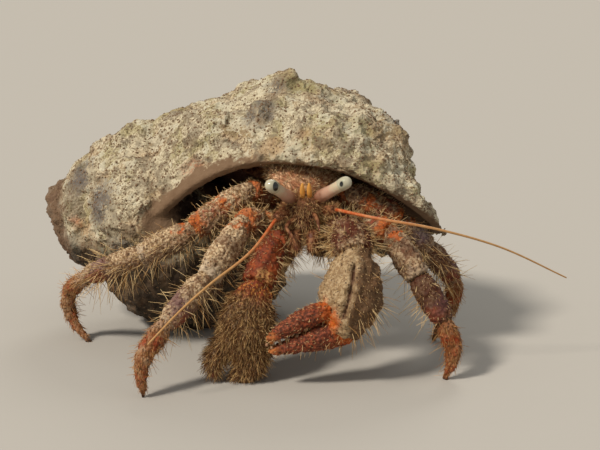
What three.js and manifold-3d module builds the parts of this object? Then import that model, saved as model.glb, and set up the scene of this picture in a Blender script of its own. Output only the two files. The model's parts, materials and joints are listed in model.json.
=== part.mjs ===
// Hairy hermit crab carried in a worn, heavy, low-spired sea-snail shell.
// Millimetres, +Z up, the crab faces -Y, the shell's spire points to -X.
import * as THREE from 'three';
import Module from 'manifold-3d';

const wasm = await Module();
wasm.setup();

// ---------------------------------------------------------------- sizes
const JOINT_GAP = 0.3; // clear slit between two plates of armour
const SKIN_GAP = 0.3; // clearance where one piece nests in another
const LEG_SIDES = 9; // facets round a leg
const FLOOR = 0; // height of the ground on which the animal stands

// moves the animal so that its box is centred over the origin
const SHIFT = new THREE.Vector3(0.7, -13.6, 0);

const at = (x, y, z) => new THREE.Vector3(x, y, z);

// ---------------------------------------------------------------- solids
function solidFromRings(rings) {
  const sides = rings[0].length;
  const vertices = [];
  const triangles = [];
  for (const ring of rings) {
    for (const point of ring) {
      vertices.push(point.x, point.y, point.z);
    }
  }
  for (let i = 0; i + 1 < rings.length; i += 1) {
    for (let j = 0; j < sides; j += 1) {
      const a = i * sides + j;
      const b = i * sides + ((j + 1) % sides);
      triangles.push(a, b, b + sides, a, b + sides, a + sides);
    }
  }
  for (const end of [0, rings.length - 1]) {
    const centre = at(0, 0, 0);
    rings[end].forEach((point) => centre.add(point));
    centre.divideScalar(sides);
    const hub = vertices.length / 3;
    vertices.push(centre.x, centre.y, centre.z);
    for (let j = 0; j < sides; j += 1) {
      const a = end * sides + j;
      const b = end * sides + ((j + 1) % sides);
      if (end === 0) {
        triangles.push(hub, b, a);
      } else {
        triangles.push(hub, a, b);
      }
    }
  }
  let volume = 0;
  const corner = (k) => at(vertices[3 * k], vertices[3 * k + 1], vertices[3 * k + 2]);
  for (let k = 0; k < triangles.length; k += 3) {
    const a = corner(triangles[k]);
    volume += a.dot(corner(triangles[k + 1]).cross(corner(triangles[k + 2])));
  }
  if (volume < 0) {
    for (let k = 0; k < triangles.length; k += 3) {
      const swap = triangles[k];
      triangles[k] = triangles[k + 1];
      triangles[k + 1] = swap;
    }
  }
  return new wasm.Manifold(new wasm.Mesh({
    numProp: 3,
    vertProperties: Float32Array.from(vertices),
    triVerts: Uint32Array.from(triangles),
  }));
}

// A rounded bar along a line of points; `wide` and `high` are half sizes at
// even stations, `up` is the direction in which `high` is measured.
function bar(points, wide, high, up, sides = LEG_SIDES, overrun = 0) {
  const curve = new THREE.CatmullRomCurve3(points, false, 'centripetal');
  const stations = wide.length;
  const swell = 1 / Math.sqrt(Math.cos(Math.PI / sides));
  const rings = [];
  const ringAt = (centre, tangent, w, h) => {
    const side = tangent.clone().cross(up).normalize();
    const top = side.clone().cross(tangent).normalize();
    const ring = [];
    for (let j = 0; j < sides; j += 1) {
      const angle = (2 * Math.PI * (j + 0.5)) / sides;
      const point = centre.clone();
      point.addScaledVector(side, w * swell * Math.cos(angle));
      point.addScaledVector(top, h * swell * Math.sin(angle));
      ring.push(point);
    }
    return ring;
  };
  if (overrun > 0) {
    const tangent = curve.getTangentAt(0);
    const start = points[0].clone().addScaledVector(tangent, -overrun);
    rings.push(ringAt(start, tangent, wide[0], high[0]));
  }
  for (let i = 0; i < stations; i += 1) {
    const u = i / (stations - 1);
    rings.push(ringAt(curve.getPointAt(u), curve.getTangentAt(u), wide[i], high[i]));
  }
  if (overrun > 0) {
    const tangent = curve.getTangentAt(1);
    const stop = points[points.length - 1].clone().addScaledVector(tangent, overrun);
    rings.push(ringAt(stop, tangent, wide[stations - 1], high[stations - 1]));
  }
  return solidFromRings(rings);
}

function keepAhead(solid, point, normal, gap) {
  return solid.trimByPlane([normal.x, normal.y, normal.z], normal.dot(point) + gap / 2);
}

function aboveFloor(solid) {
  return solid.trimByPlane([0, 0, 1], FLOOR);
}

// Boolean work can leave specks of no thickness; only the body is kept.
function largest(solid) {
  const pieces = solid.decompose();
  pieces.sort((a, b) => b.volume() - a.volume());
  return pieces[0];
}

// An egg-shaped solid: half sizes, centre and a turn about X, Y and Z.
function egg(centre, half, turn = [0, 0, 0], wide = 12, tall = 8) {
  const ball = new THREE.SphereGeometry(1, wide, tall);
  ball.scale(half[0], half[1], half[2]);
  const pose = new THREE.Matrix4().makeRotationFromEuler(
    new THREE.Euler(turn[0], turn[1], turn[2]),
  );
  pose.setPosition(centre);
  ball.applyMatrix4(pose);
  return solidFromGeometry(ball);
}

function solidFromGeometry(geometry) {
  const position = geometry.attributes.position;
  const index = geometry.index;
  const known = new Map();
  const vertices = [];
  const remap = [];
  for (let i = 0; i < position.count; i += 1) {
    const p = [position.getX(i), position.getY(i), position.getZ(i)];
    const key = p.map((v) => Math.round(v * 1e4)).join(',');
    if (!known.has(key)) {
      known.set(key, vertices.length / 3);
      vertices.push(p[0], p[1], p[2]);
    }
    remap.push(known.get(key));
  }
  const triangles = [];
  for (let k = 0; k < index.count; k += 3) {
    const a = remap[index.getX(k)];
    const b = remap[index.getX(k + 1)];
    const c = remap[index.getX(k + 2)];
    if (a !== b && b !== c && c !== a) {
      triangles.push(a, b, c);
    }
  }
  return new wasm.Manifold(new wasm.Mesh({
    numProp: 3,
    vertProperties: Float32Array.from(vertices),
    triVerts: Uint32Array.from(triangles),
  }));
}

// ---------------------------------------------------------------- scene
const crab = new THREE.Group();
crab.name = 'hermit_crab';

function add(name, solid, colour) {
  const mesh = solid.getMesh();
  const stride = mesh.numProp;
  const count = mesh.vertProperties.length / stride;
  const positions = new Float32Array(count * 3);
  for (let i = 0; i < count; i += 1) {
    positions[3 * i] = mesh.vertProperties[i * stride] + SHIFT.x;
    positions[3 * i + 1] = mesh.vertProperties[i * stride + 1] + SHIFT.y;
    positions[3 * i + 2] = mesh.vertProperties[i * stride + 2] + SHIFT.z;
  }
  const geometry = new THREE.BufferGeometry();
  geometry.setAttribute('position', new THREE.BufferAttribute(positions, 3));
  geometry.setIndex(new THREE.BufferAttribute(Uint32Array.from(mesh.triVerts), 1));
  geometry.computeVertexNormals();
  const material = new THREE.MeshStandardMaterial({ color: colour, roughness: 0.8 });
  const piece = new THREE.Mesh(geometry, material);
  piece.name = name;
  crab.add(piece);
  return solid;
}

// ---------------------------------------------------------------- the shell
// The tube's section is laid out in (along the axis, away from the axis) and
// swept round the axis while it shrinks toward the spire end.
const AXIS_POINT = at(0, 27.8, 22.9);
const AXIS_YAW = THREE.MathUtils.degToRad(8.3); // the spire end lies farther back
const AXIS_DIP = THREE.MathUtils.degToRad(2.9); // the spire end lies a little higher
const GIRTH_PER_TURN = 1.59;
const LENGTH_PER_TURN = 2.4;
const SPIRE_END = -58.8; // on the axis, from AXIS_POINT
const LIP_ANGLE = THREE.MathUtils.degToRad(55.5); // lip's middle, forward of the top
const TURNS = 3;
const STEPS_PER_TURN = 26;
const EARLY_STEPS = 10; // the oldest whorls are small
const HOLLOW_STEPS = 12; // the hollow is smoother than the outside
const SECTION_POINTS = 20;
const CRUST_FREE_LIP = 0.05; // turns behind the lip before the crust has its height
const CRUST_TOLERANCE = 0.45; // how far a facet of the crust may stand off the true curve
const HOLLOW_END = -0.8; // turns back from the lip where the clear hollow stops
const SPIRE_LENGTH_LEFT = -27; // on the axis, where the spire is parted off
const ROOF_RISE = 4; // the roof starts this far above the axis

const axis = at(
  Math.cos(AXIS_YAW) * Math.cos(AXIS_DIP),
  -Math.sin(AXIS_YAW) * Math.cos(AXIS_DIP),
  -Math.sin(AXIS_DIP),
);
const overhead = at(0, 0, 1).addScaledVector(axis, -axis.z).normalize();
const forward = overhead.clone().cross(axis).normalize();
if (forward.y > 0) {
  forward.negate();
}

// corners of the section: suture, shoulder, periphery, base, pillar side
const SECTION = [
  [-32.5, 16.5], [-29.6, 22.6], [-20, 28.6], [-6, 33.4],
  [10, 34.6], [22, 32.2], [28.6, 23.6], [29.4, 12],
  [24, 4.5], [10, 4.2], [-8, 5.0], [-24, 9.1],
];
// how far each corner's rim runs on past the lip's middle, in turns
const RIM = [0.09, 0.062, 0.022, 0, 0, 0.018, 0.036, 0.05, 0.055, 0.055, 0.06, 0.08];

const section = new THREE.CatmullRomCurve3(
  SECTION.map(([along, away], i) => at(along, away, RIM[i] * 100)),
  true,
  'centripetal',
);

// the crust rises in low lumps: each wave has a direction, the length between
// two crests, a height and a start
const LUMP_WAVES = [
  [at(1, 0.3, 0.5), 21, 0.75, 0.4],
  [at(-0.4, 1, 0.3), 18, 0.65, 2.1],
  [at(0.2, -0.5, 1), 24, 0.7, 4.0],
  [at(0.8, 0.7, -0.6), 16, 0.5, 1.2],
];
// knobs stand on the shoulder: place, height and reach
const KNOBS = [
  [at(-36.8, 29.9, 46.0), 1.6, 8], [at(-31.0, 26.0, 49.0), 1.2, 7], [at(-22.0, 20.0, 52.0), 1.3, 8],
  [at(-8.1, 11.4, 50.4), 1.6, 8], [at(-2.0, 22.0, 55.5), 0.9, 8], [at(17.0, 14.0, 49.0), 1.7, 9],
  [at(24.0, 22.0, 45.0), 1.0, 8], [at(-46.0, 22.0, 38.0), 1.0, 7], [at(-12.0, 44.0, 44.0), 1.2, 9],
  [at(-30.0, 44.0, 38.0), 1.1, 8], [at(8.0, 40.0, 44.0), 1.1, 8], [at(-30.0, 12.0, 26.0), 0.9, 7],
];
const SPIRE_FADE = [-58, -30]; // on the axis: the lumps fade out over the small old whorls

function crustHeight(place) {
  let height = 0;
  for (const [direction, length, rise, start] of LUMP_WAVES) {
    const distance = place.dot(direction.clone().normalize());
    height += rise * Math.sin((2 * Math.PI * distance) / length + start);
  }
  for (const [knob, rise, reach] of KNOBS) {
    height += rise * (1 - THREE.MathUtils.smoothstep(place.distanceTo(knob), 0, reach));
  }
  const along = place.clone().sub(AXIS_POINT).dot(axis);
  return height * THREE.MathUtils.smoothstep(along, ...SPIRE_FADE);
}

function tubeRing(turn, inner, rimShare) {
  const ring = [];
  const middle = hollowCentre(turn);
  for (let j = 0; j < SECTION_POINTS; j += 1) {
    const corner = section.getPoint(j / SECTION_POINTS);
    const where = turn + rimShare * (corner.z / 100);
    const girth = GIRTH_PER_TURN ** where;
    const length = LENGTH_PER_TURN ** where;
    let along = corner.x;
    let away = corner.y;
    if (inner) {
      along = -3.4 + (along + 3.4) * 0.91;
      away = 19.5 + (away - 19.5) * 0.8;
    }
    along = SPIRE_END + (along - SPIRE_END) * length;
    away *= girth;
    const angle = LIP_ANGLE + 2 * Math.PI * where;
    const point = AXIS_POINT.clone().addScaledVector(axis, along);
    point.addScaledVector(overhead, away * Math.cos(angle));
    point.addScaledVector(forward, away * Math.sin(angle));
    if (!inner) {
      const clearOfLip = THREE.MathUtils.smoothstep(-turn, 0, CRUST_FREE_LIP);
      const out = point.clone().sub(middle).normalize();
      point.addScaledVector(out, crustHeight(point) * clearOfLip);
    }
    ring.push(point);
  }
  return ring;
}

// where the animal's belly lies in the hollow, a given turn back from the lip
function hollowCentre(turn) {
  const along = SPIRE_END + (-2 - SPIRE_END) * LENGTH_PER_TURN ** turn;
  const away = 19 * GIRTH_PER_TURN ** turn;
  const angle = LIP_ANGLE + 2 * Math.PI * turn;
  const point = AXIS_POINT.clone().addScaledVector(axis, along);
  point.addScaledVector(overhead, away * Math.cos(angle));
  return point.addScaledVector(forward, away * Math.sin(angle));
}

function tube(from, to, inner, steps = STEPS_PER_TURN) {
  const rings = [];
  const first = Math.round(from * steps);
  const last = Math.round(to * steps);
  for (let k = first; k <= last; k += 1) {
    const turn = k / steps;
    const share = THREE.MathUtils.smoothstep(turn, -0.34, 0);
    rings.push(tubeRing(turn, inner, share));
  }
  return solidFromRings(rings);
}

function whorls(from, to, inner, steps) {
  let total = null;
  for (let start = from; start < to - 1e-6; start += 0.2) {
    const stop = Math.min(start + 0.2, to);
    const length = tube(start, stop, inner, steps);
    total = total ? total.add(length) : length;
  }
  return total;
}

const onAxis = (along) => AXIS_POINT.clone().addScaledVector(axis, along);
const pillarGirth = [3, 5.5, 8.5, 8, 6.4, 5.4, 2.2]; // the solid pillar on the axis
const pillar = bar([onAxis(-54), onAxis(-13), onAxis(23.5)], pillarGirth, pillarGirth, at(0, 0, 1), 12);
const wornTip = egg(onAxis(SPIRE_END + 4.4), [3.2, 6.6, 6.6], [0, 0, -AXIS_YAW]);
const oldWhorls = whorls(-TURNS, -2, false, EARLY_STEPS);
const outside = whorls(-2, 0, false, STEPS_PER_TURN).add(oldWhorls).add(pillar).add(wornTip);
const earlier = (turn) => whorls(-2, turn, false, STEPS_PER_TURN).add(oldWhorls).add(pillar);
const hollowFront = whorls(-0.4, 0.14, true, HOLLOW_STEPS).subtract(earlier(-0.7));
const hollowBack = whorls(HOLLOW_END, -0.4, true, HOLLOW_STEPS).subtract(earlier(-1));
const hollow = hollowFront.add(hollowBack);
const wornShell = largest(aboveFloor(outside.subtract(hollow)));

// the shell is parted where a person names its parts: the spire of old whorls,
// and the last whorl's roof with the lip and its base with the pillar's foot
const spireCut = onAxis(SPIRE_LENGTH_LEFT);
const lastWhorl = keepAhead(wornShell, spireCut, axis, JOINT_GAP);
const roofCut = onAxis(0).addScaledVector(overhead, ROOF_RISE);
const shellPieces = {
  shell_spire: keepAhead(wornShell, spireCut, axis.clone().negate(), JOINT_GAP),
  shell_roof: keepAhead(lastWhorl, roofCut, overhead, JOINT_GAP),
  shell_base: keepAhead(lastWhorl, roofCut, overhead.clone().negate(), JOINT_GAP),
};
Object.entries(shellPieces).forEach(([name, solid]) => add(name, largest(solid.simplify(CRUST_TOLERANCE)), 0x9a8d73));

// ---------------------------------------------------------------- limbs
// A limb is a row of armour tubes.  `joints` are the hinge points; a link may
// run to the next hinge through `via` points instead of straight.
function linkPoints(joints, link, k) {
  const start = joints[k].clone();
  const stop = joints[k + 1].clone();
  if (link.via) {
    return [start, ...link.via, stop];
  }
  return [start, start.clone().lerp(stop, 0.5), stop];
}

function heading(points, u) {
  return new THREE.CatmullRomCurve3(points, false, 'centripetal').getTangentAt(u);
}

const grow = (sizes, by) => sizes.map((v) => v + by);

function limb(prefix, joints, links, up, colour) {
  const lines = links.map((link, k) => linkPoints(joints, link, k));
  const slits = joints.map((joint, k) => {
    if (k === 0 || k === joints.length - 1) {
      return null;
    }
    return heading(lines[k - 1], 1).add(heading(lines[k], 0)).normalize();
  });
  const solids = {};
  links.forEach((link, k) => {
    const points = lines[k];
    const sides = link.sides || LEG_SIDES;
    const high = link.high;
    const overrun = 0.45 * Math.max(high[0], high[high.length - 1]);
    const make = (by) => {
      const wide = grow(link.wide, by);
      const tall = grow(high, by);
      if (!link.tip) {
        return bar(points, wide, tall, link.up || up, sides, overrun + by);
      }
      const back = points[0].clone().sub(points[1]).normalize();
      const root = points[0].clone().addScaledVector(back, overrun);
      return bar([root, ...points], [wide[0], ...wide], [tall[0], ...tall], link.up || up, sides);
    };
    let solid = make(0);
    if (slits[k]) {
      solid = keepAhead(solid, joints[k], slits[k], JOINT_GAP);
    }
    if (slits[k + 1]) {
      solid = keepAhead(solid, joints[k + 1], slits[k + 1].clone().negate(), JOINT_GAP);
    }
    (link.join || []).forEach((extra) => {
      solid = solid.add(extra);
    });
    (link.clear || []).forEach((tool) => {
      solid = solid.subtract(tool);
    });
    solid = largest(aboveFloor(solid).simplify(link.join ? 0.08 : 0.01));
    solids[link.name] = solid;
    if (k === 0) {
      solids.sleeve = make(SKIN_GAP);
    }
    add(prefix + '_' + link.name, solid, colour);
  });
  return solids;
}

const RED = 0xa8552e;
const TAN = 0xa98a66;
const PALE = 0xd8c9b4;
const DARK = 0x4a2c22;

// half sizes of a walking leg's links, for a leg of size 1
function walkingLeg(prefix, joints, size, depth, up, clawUp, clawVia) {
  const tall = (list) => list.map((v) => v * size);
  const wide = (list) => list.map((v) => v * size * depth);
  const coxa = [2.5, 2.9, 2.6];
  const merus = [2.3, 2.9, 3.2, 3.1, 2.5];
  const carpus = [2.2, 3.0, 3.2, 2.5];
  const propodus = [2.2, 2.8, 2.8, 2.6, 2.0];
  const dactyl = [1.8, 2.1, 1.9, 1.5, 1.05, 0.5];
  const links = [
    { name: 'coxa', wide: wide(coxa), high: tall(coxa) },
    { name: 'merus', wide: wide(merus), high: tall(merus) },
    { name: 'carpus', wide: wide(carpus), high: tall(carpus) },
    { name: 'propodus', wide: wide(propodus), high: tall(propodus) },
    {
      name: 'dactyl', wide: wide(dactyl), high: tall(dactyl),
      tip: true, up: clawUp, via: clawVia, sides: 8,
    },
  ];
  return limb(prefix, joints, links, up, RED);
}

// the second pair of walking legs stands in front, the third pair behind
const legs = [
  walkingLeg(
    'leg2_right',
    [at(-4.8, 8.4, 27.0), at(-8.2, 3.2, 28.6), at(-11.6, -6.2, 30.8), at(-18.6, -13.5, 20.9),
      at(-26.6, -20.3, 13.2), at(-30.6, -25.8, -0.5)],
    1.06, 0.86, at(0.3, 0.2, 1), at(-1, -0.8, 0.3), [at(-30.8, -25.2, 7.2)],
  ),
  walkingLeg(
    'leg3_right',
    [at(-5.2, 12.4, 31.4), at(-10.6, 3.8, 35.6), at(-22.2, 0.4, 28.0), at(-33.6, 3.6, 21.6),
      at(-46.0, 9.6, 15.8), at(-45.8, 12.6, -0.5)],
    0.97, 0.86, at(0, 0.1, 1), at(-1, -0.4, 0.2), [at(-50.8, 13.8, 10.4), at(-50.2, 14.6, 4.6)],
  ),
  walkingLeg(
    'leg2_left',
    [at(6.4, 8.8, 26.8), at(10.8, 4.4, 28.0), at(18.5, -5.0, 28.6), at(24.0, -9.8, 20.2),
      at(29.3, -12.8, 11.7), at(29.2, -14.2, -0.5)],
    1.02, 0.86, at(-0.3, 0.2, 1), at(1, -0.5, 0.3), [at(31.0, -14.0, 5.8)],
  ),
  walkingLeg(
    'leg3_left',
    [at(6.2, 13, 31.4), at(10.6, 6.4, 34.8), at(21.0, 4.8, 28.8), at(27.2, 8.2, 22.2),
      at(33.6, 14.2, 14.2), at(29.0, 13.4, -0.5)],
    1.02, 0.86, at(0, 0.1, 1), at(1, 0.4, 0.2), [at(33.8, 16.0, 8.8), at(31.6, 15.2, 3.6)],
  ),
];

// ---------------------------------------------------------------- claws
// the left claw is the larger; each palm carries a fixed finger and the
// movable finger closes on it
function claw(prefix, joints, arm, palm, fixed, movable) {
  const finger = (f, by) => bar(f.line, grow(f.wide, by), grow(f.high, by), f.up, 8);
  const links = [
    { name: 'merus', wide: arm.merusWide, high: arm.merusHigh },
    { name: 'carpus', wide: arm.carpusWide, high: arm.carpusHigh },
    {
      name: 'palm', wide: palm.wide, high: palm.high, up: palm.up, via: palm.via, sides: 10,
      join: [finger(fixed, 0)], clear: [finger(movable, SKIN_GAP)],
    },
  ];
  const solids = limb(prefix, joints, links, arm.up, TAN);
  add(prefix + '_finger', aboveFloor(finger(movable, 0)), RED);
  return solids;
}

const clawLeft = claw(
  'claw_left',
  [at(3.3, 4.6, 23.4), at(9.6, -6.6, 30.4), at(10.9, -13.6, 25.8), at(8.0, -17.6, 10.2)],
  {
    up: at(0, 0.2, 1),
    merusWide: [2.4, 3.0, 3.4, 3.0], merusHigh: [2.6, 3.2, 3.4, 3.0],
    carpusWide: [2.9, 4.1, 4.5, 3.6], carpusHigh: [2.8, 3.8, 4.0, 3.3],
  },
  {
    up: at(1, 0, 0.3), via: [at(10.4, -16.4, 18.6)],
    wide: [3.2, 4.4, 4.8, 4.4, 3.2], high: [4.0, 5.8, 6.5, 5.8, 3.6],
  },
  {
    line: [at(9.4, -17.4, 11.8), at(3.2, -18.6, 10.0), at(-6.6, -20.2, 7.4)], up: at(0.2, 0, 1),
    wide: [3.0, 2.9, 2.5, 1.8, 0.8], high: [3.6, 3.0, 2.4, 1.6, 0.8],
  },
  {
    line: [at(6.2, -18.2, 16.2), at(-1.2, -19.6, 13.2), at(-7.0, -20.6, 9.7)], up: at(0.3, 0, 1),
    wide: [2.2, 2.6, 2.3, 1.7, 0.8], high: [1.9, 2.2, 2.0, 1.5, 0.8],
  },
);
const clawRight = claw(
  'claw_right',
  [at(-2.0, 4.4, 23.2), at(-5.6, -5.2, 26.2), at(-8.6, -11.2, 19.0), at(-11.6, -14.4, 5.4)],
  {
    up: at(0, 0.2, 1),
    merusWide: [2.4, 2.9, 3.3, 3.0], merusHigh: [2.3, 2.9, 3.2, 3.0],
    carpusWide: [2.8, 3.6, 3.8, 3.4], carpusHigh: [2.6, 3.3, 3.6, 3.2],
  },
  {
    up: at(1, 0, 0.2), via: [at(-10.6, -13.6, 12.6)],
    wide: [2.6, 3.6, 4.0, 3.4], high: [3.0, 4.8, 5.6, 4.4],
  },
  {
    line: [at(-9.8, -14.4, 7.4), at(-10.4, -15.0, 3.6), at(-12.2, -15.6, -0.6)], up: at(1, 0, 0.2),
    wide: [3.0, 2.6, 2.1, 1.3], high: [3.8, 3.6, 2.8, 1.5],
  },
  {
    line: [at(-14.6, -14.4, 8.8), at(-16.9, -15.2, 5.2), at(-17.4, -15.8, 0.8)], up: at(1, 0, 0.4),
    wide: [1.9, 2.1, 1.7, 0.8], high: [2.0, 2.4, 2.0, 0.9],
  },
);

// ---------------------------------------------------------------- body
let chest = bar(
  [at(0.8, 1.4, 29.8), at(0.6, 10, 30.8), at(-0.4, 19.0, 32.4)],
  [3.2, 4.8, 5.4, 5.2, 4.0], [2.6, 3.6, 4.2, 4.0, 2.8], at(0, -0.2, 1), 10,
);
[...legs, clawLeft, clawRight].forEach((part) => {
  chest = chest.subtract(part.sleeve);
});

// the hard shield, the soft rear of the carapace and the belly make one row;
// the belly follows the hollow of the shell back to a small tail fan
const belly = [-0.17, -0.24, -0.31, -0.38, -0.45, -0.52, -0.59].map(hollowCentre);
limb(
  'body',
  [at(0.8, 0.6, 35.4), at(0.4, 11.2, 39.6), at(-1.6, 20.4, 40.8), belly[1], belly[3], belly[5], belly[6]],
  [
    { name: 'shield', via: [at(0.7, 5.4, 37.9)], sides: 14,
      wide: [3.2, 6.4, 7.7, 7.6, 6.6], high: [1.2, 2.2, 2.7, 2.7, 2.4] },
    { name: 'rear_carapace', wide: [5.6, 6.3, 5.6], high: [2.6, 4.0, 4.2], sides: 10 },
    { name: 'belly_front', via: [belly[0]], wide: [4.9, 5.9, 6.0], high: [4.2, 5.2, 5.4], sides: 10 },
    { name: 'belly_middle', via: [belly[2]], wide: [5.7, 5.8, 5.2], high: [5.2, 5.3, 4.8], sides: 10 },
    { name: 'belly_rear', via: [belly[4]], wide: [5.0, 4.8, 3.6], high: [4.6, 4.2, 3.2], sides: 10 },
    { name: 'tail_fan', wide: [2.2, 3.2, 1.6], high: [2.0, 2.4, 1.2], sides: 8 },
  ],
  at(0.2, -0.2, 1),
  PALE,
);

// ---------------------------------------------------------------- head
function sprig(name, line, sizes, colour, sides = 8, flat = 1, up = at(0, 0, 1)) {
  const solid = aboveFloor(bar(line, sizes.map((v) => v * flat), sizes, up, sides));
  add(name, solid, colour);
  return solid;
}

const EYES = [
  ['left', at(3.8, -2.8, 35.3), at(10.3, -6.2, 39.7)],
  ['right', at(-1.6, -2.8, 35.0), at(-6.6, -8.8, 39.5)],
];
EYES.forEach(([side, root, end]) => {
  const along = end.clone().sub(root).normalize();
  const cap = root.clone().lerp(end, 0.7);
  const stalkEnd = cap.clone().addScaledVector(along, -SKIN_GAP);
  const middle = root.clone().lerp(stalkEnd, 0.5);
  sprig('eyestalk_' + side, [root, middle, stalkEnd], [1.3, 1.15, 1.05, 1.1, 1.2], PALE, 10);
  const bulge = cap.clone().lerp(end, 0.5);
  sprig('cornea_' + side, [cap, bulge, end], [1.2, 1.36, 1.32, 1.0, 0.4], DARK, 10);
});
const SCALE_SIZES = [0.75, 0.75, 0.35]; // the pointed scale beside each eyestalk
sprig('acicle_left', [at(2.0, -2.6, 35.6), at(1.95, -3.4, 36.9), at(1.9, -4.2, 38.3)],
  SCALE_SIZES, RED, 6);
sprig('acicle_right', [at(0.4, -2.6, 35.6), at(0.4, -3.4, 36.9), at(0.45, -4.2, 38.3)],
  SCALE_SIZES, RED, 6);

sprig('antennule_left', [at(2.2, -3.0, 32.4), at(3.4, -7.6, 32.0), at(4.0, -10.4, 29.8)],
  [0.8, 0.8, 0.6, 0.35], TAN, 6, 1, at(1, 0, 0));
sprig('antennule_right',
  [at(0.2, -3.0, 31.6), at(-2.8, -8.0, 30.2), at(-1.6, -9.6, 28.8), at(-0.3, -10.4, 25.8)],
  [0.8, 0.8, 0.6, 0.5, 0.35], TAN, 6, 1, at(1, 0, 0));

const FEELERS = [
  ['left', [at(4.8, -1.8, 32.2), at(5.8, -4.0, 32.8), at(6.9, -6.2, 33.6)],
    [at(7.1, -6.6, 33.7), at(15.4, -12.6, 33.0), at(27, -12.6, 30.9)],
    [at(40.6, -8.4, 26.2), at(55.5, -2.2, 18.2)]],
  ['right', [at(-2.4, -2.0, 32.4), at(-3.4, -4.4, 32.4), at(-4.6, -6.8, 32.0)],
    [at(-4.9, -7.2, 31.8), at(-9.8, -14.6, 26.6), at(-17.7, -21.4, 21.6)],
    [at(-23.1, -26.0, 17.6), at(-29.1, -31.0, 12.2)]],
];
FEELERS.forEach(([side, foot, near, far]) => {
  sprig('antenna_' + side + '_base', foot, [1.2, 1.25, 0.95], RED, 8);
  const line = new THREE.CatmullRomCurve3([...near, ...far], false, 'centripetal');
  const length = line.getLength();
  const stretch = (from, to, count) => {
    const points = [];
    for (let i = 0; i <= count; i += 1) {
      points.push(line.getPointAt(from + ((to - from) * i) / count));
    }
    return points;
  };
  const slit = SKIN_GAP / length;
  const first = [0.5, 0.46, 0.44, 0.42, 0.4];
  sprig('antenna_' + side + '_near', stretch(slit, 0.5, 4), first, TAN, 6);
  const rest = [0.4, 0.37, 0.34, 0.31, 0.27];
  sprig('antenna_' + side + '_far', stretch(0.5 + slit, 1, 4), rest, TAN, 6);
});

sprig('mouth_limb_left', [at(2.2, -2.6, 28.4), at(2.6, -5.8, 27.8), at(2.2, -7.4, 24.8)],
  [1.1, 1.4, 1.2, 0.7], TAN, 8, 0.8, at(1, 0, 0.1));
sprig('mouth_limb_right', [at(-0.6, -2.6, 28.4), at(-1.0, -5.8, 27.8), at(-0.6, -7.4, 24.8)],
  [1.1, 1.4, 1.2, 0.7], TAN, 8, 0.8, at(1, 0, 0.1));

// the fourth and fifth pairs of legs are short and stay inside the shell
const SHORT = [
  ['leg4_right', [at(-5.2, 17.0, 31.6), at(-10.2, 17.4, 30.4), at(-12.6, 12.6, 31.6)], 1.5],
  ['leg4_left', [at(5.0, 17.4, 31.6), at(10.4, 17.6, 31.0), at(13.4, 13.0, 31.8)], 1.5],
  ['leg5_right', [at(-4.6, 21.0, 34.6), at(-9.6, 24.0, 36.0), at(-12.6, 20.0, 37.2)], 1.1],
  ['leg5_left', [at(3.6, 21.0, 34.8), at(8.6, 24.4, 36.4), at(11.8, 20.6, 37.6)], 1.1],
];
SHORT.forEach(([name, line, size]) => {
  sprig(name, line, [1, 1.15, 0.9, 1, 0.45].map((v) => v * size), TAN, 8, 1, at(0, 0, 1));
});
add('chest', largest(chest.simplify(0.08)), TAN);
export default crab;
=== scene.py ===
# %% [markdown]
# # A hairy hermit crab in a sea snail's shell
# The crab leans out of a thick, worn snail shell that is crusted with sand. Its armour is a row of
# hard tubes, one for each length of a leg, and every tube grows bristles. The solids were built
# first, so this lesson dresses them: each step makes one kind of piece round the same joints.

# %% Load the frame
import json
import math

import bpy
import numpy as np
from mathutils import Matrix, Vector
from mathutils.bvhtree import BVHTree
from mathutils.kdtree import KDTree

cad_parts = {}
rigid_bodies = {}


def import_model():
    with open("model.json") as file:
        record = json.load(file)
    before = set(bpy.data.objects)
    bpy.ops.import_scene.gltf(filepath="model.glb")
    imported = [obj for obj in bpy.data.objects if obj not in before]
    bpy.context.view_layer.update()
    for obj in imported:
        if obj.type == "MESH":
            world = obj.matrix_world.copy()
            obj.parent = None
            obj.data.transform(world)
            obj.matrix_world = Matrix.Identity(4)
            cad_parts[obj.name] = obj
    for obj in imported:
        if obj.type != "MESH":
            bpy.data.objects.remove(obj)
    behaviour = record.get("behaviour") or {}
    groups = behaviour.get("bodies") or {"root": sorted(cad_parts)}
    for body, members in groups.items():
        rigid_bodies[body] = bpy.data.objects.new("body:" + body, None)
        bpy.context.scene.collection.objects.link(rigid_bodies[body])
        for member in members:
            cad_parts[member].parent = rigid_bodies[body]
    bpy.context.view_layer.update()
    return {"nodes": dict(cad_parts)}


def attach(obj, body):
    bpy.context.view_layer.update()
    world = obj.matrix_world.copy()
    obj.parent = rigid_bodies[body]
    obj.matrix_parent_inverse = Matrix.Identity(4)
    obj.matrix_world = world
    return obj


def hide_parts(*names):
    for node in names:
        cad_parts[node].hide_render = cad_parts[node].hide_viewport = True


bpy.ops.object.select_all(action="SELECT")
bpy.ops.object.delete()
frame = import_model()

# %% [markdown]
# ## Places
# Sizes are written in millimetres, as a model maker would measure them on the bench. The animal is
# measured from the point under its face, and `SHIFT` moves it so that its box is centred.

# %% Places in millimetres
MM = 0.001
SHIFT = Vector((0.7, -13.6, 0.0))
FLOOR_CLEARANCE = 0.02 * MM


def at(x, y, z):
    return (Vector((x, y, z)) + SHIFT) * MM


def way(x, y, z):
    return Vector((x, y, z)).normalized()

# %% [markdown]
# A smooth line through a few points carries every tube. It could be a curve object, but reading the
# line as plain points lets the same line place rings, bristles and colours. The points are joined by
# centripetal Catmull-Rom spans, which pass through each one and don't overshoot.

# %% Smooth lines
SPAN_STEPS = 24


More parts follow.
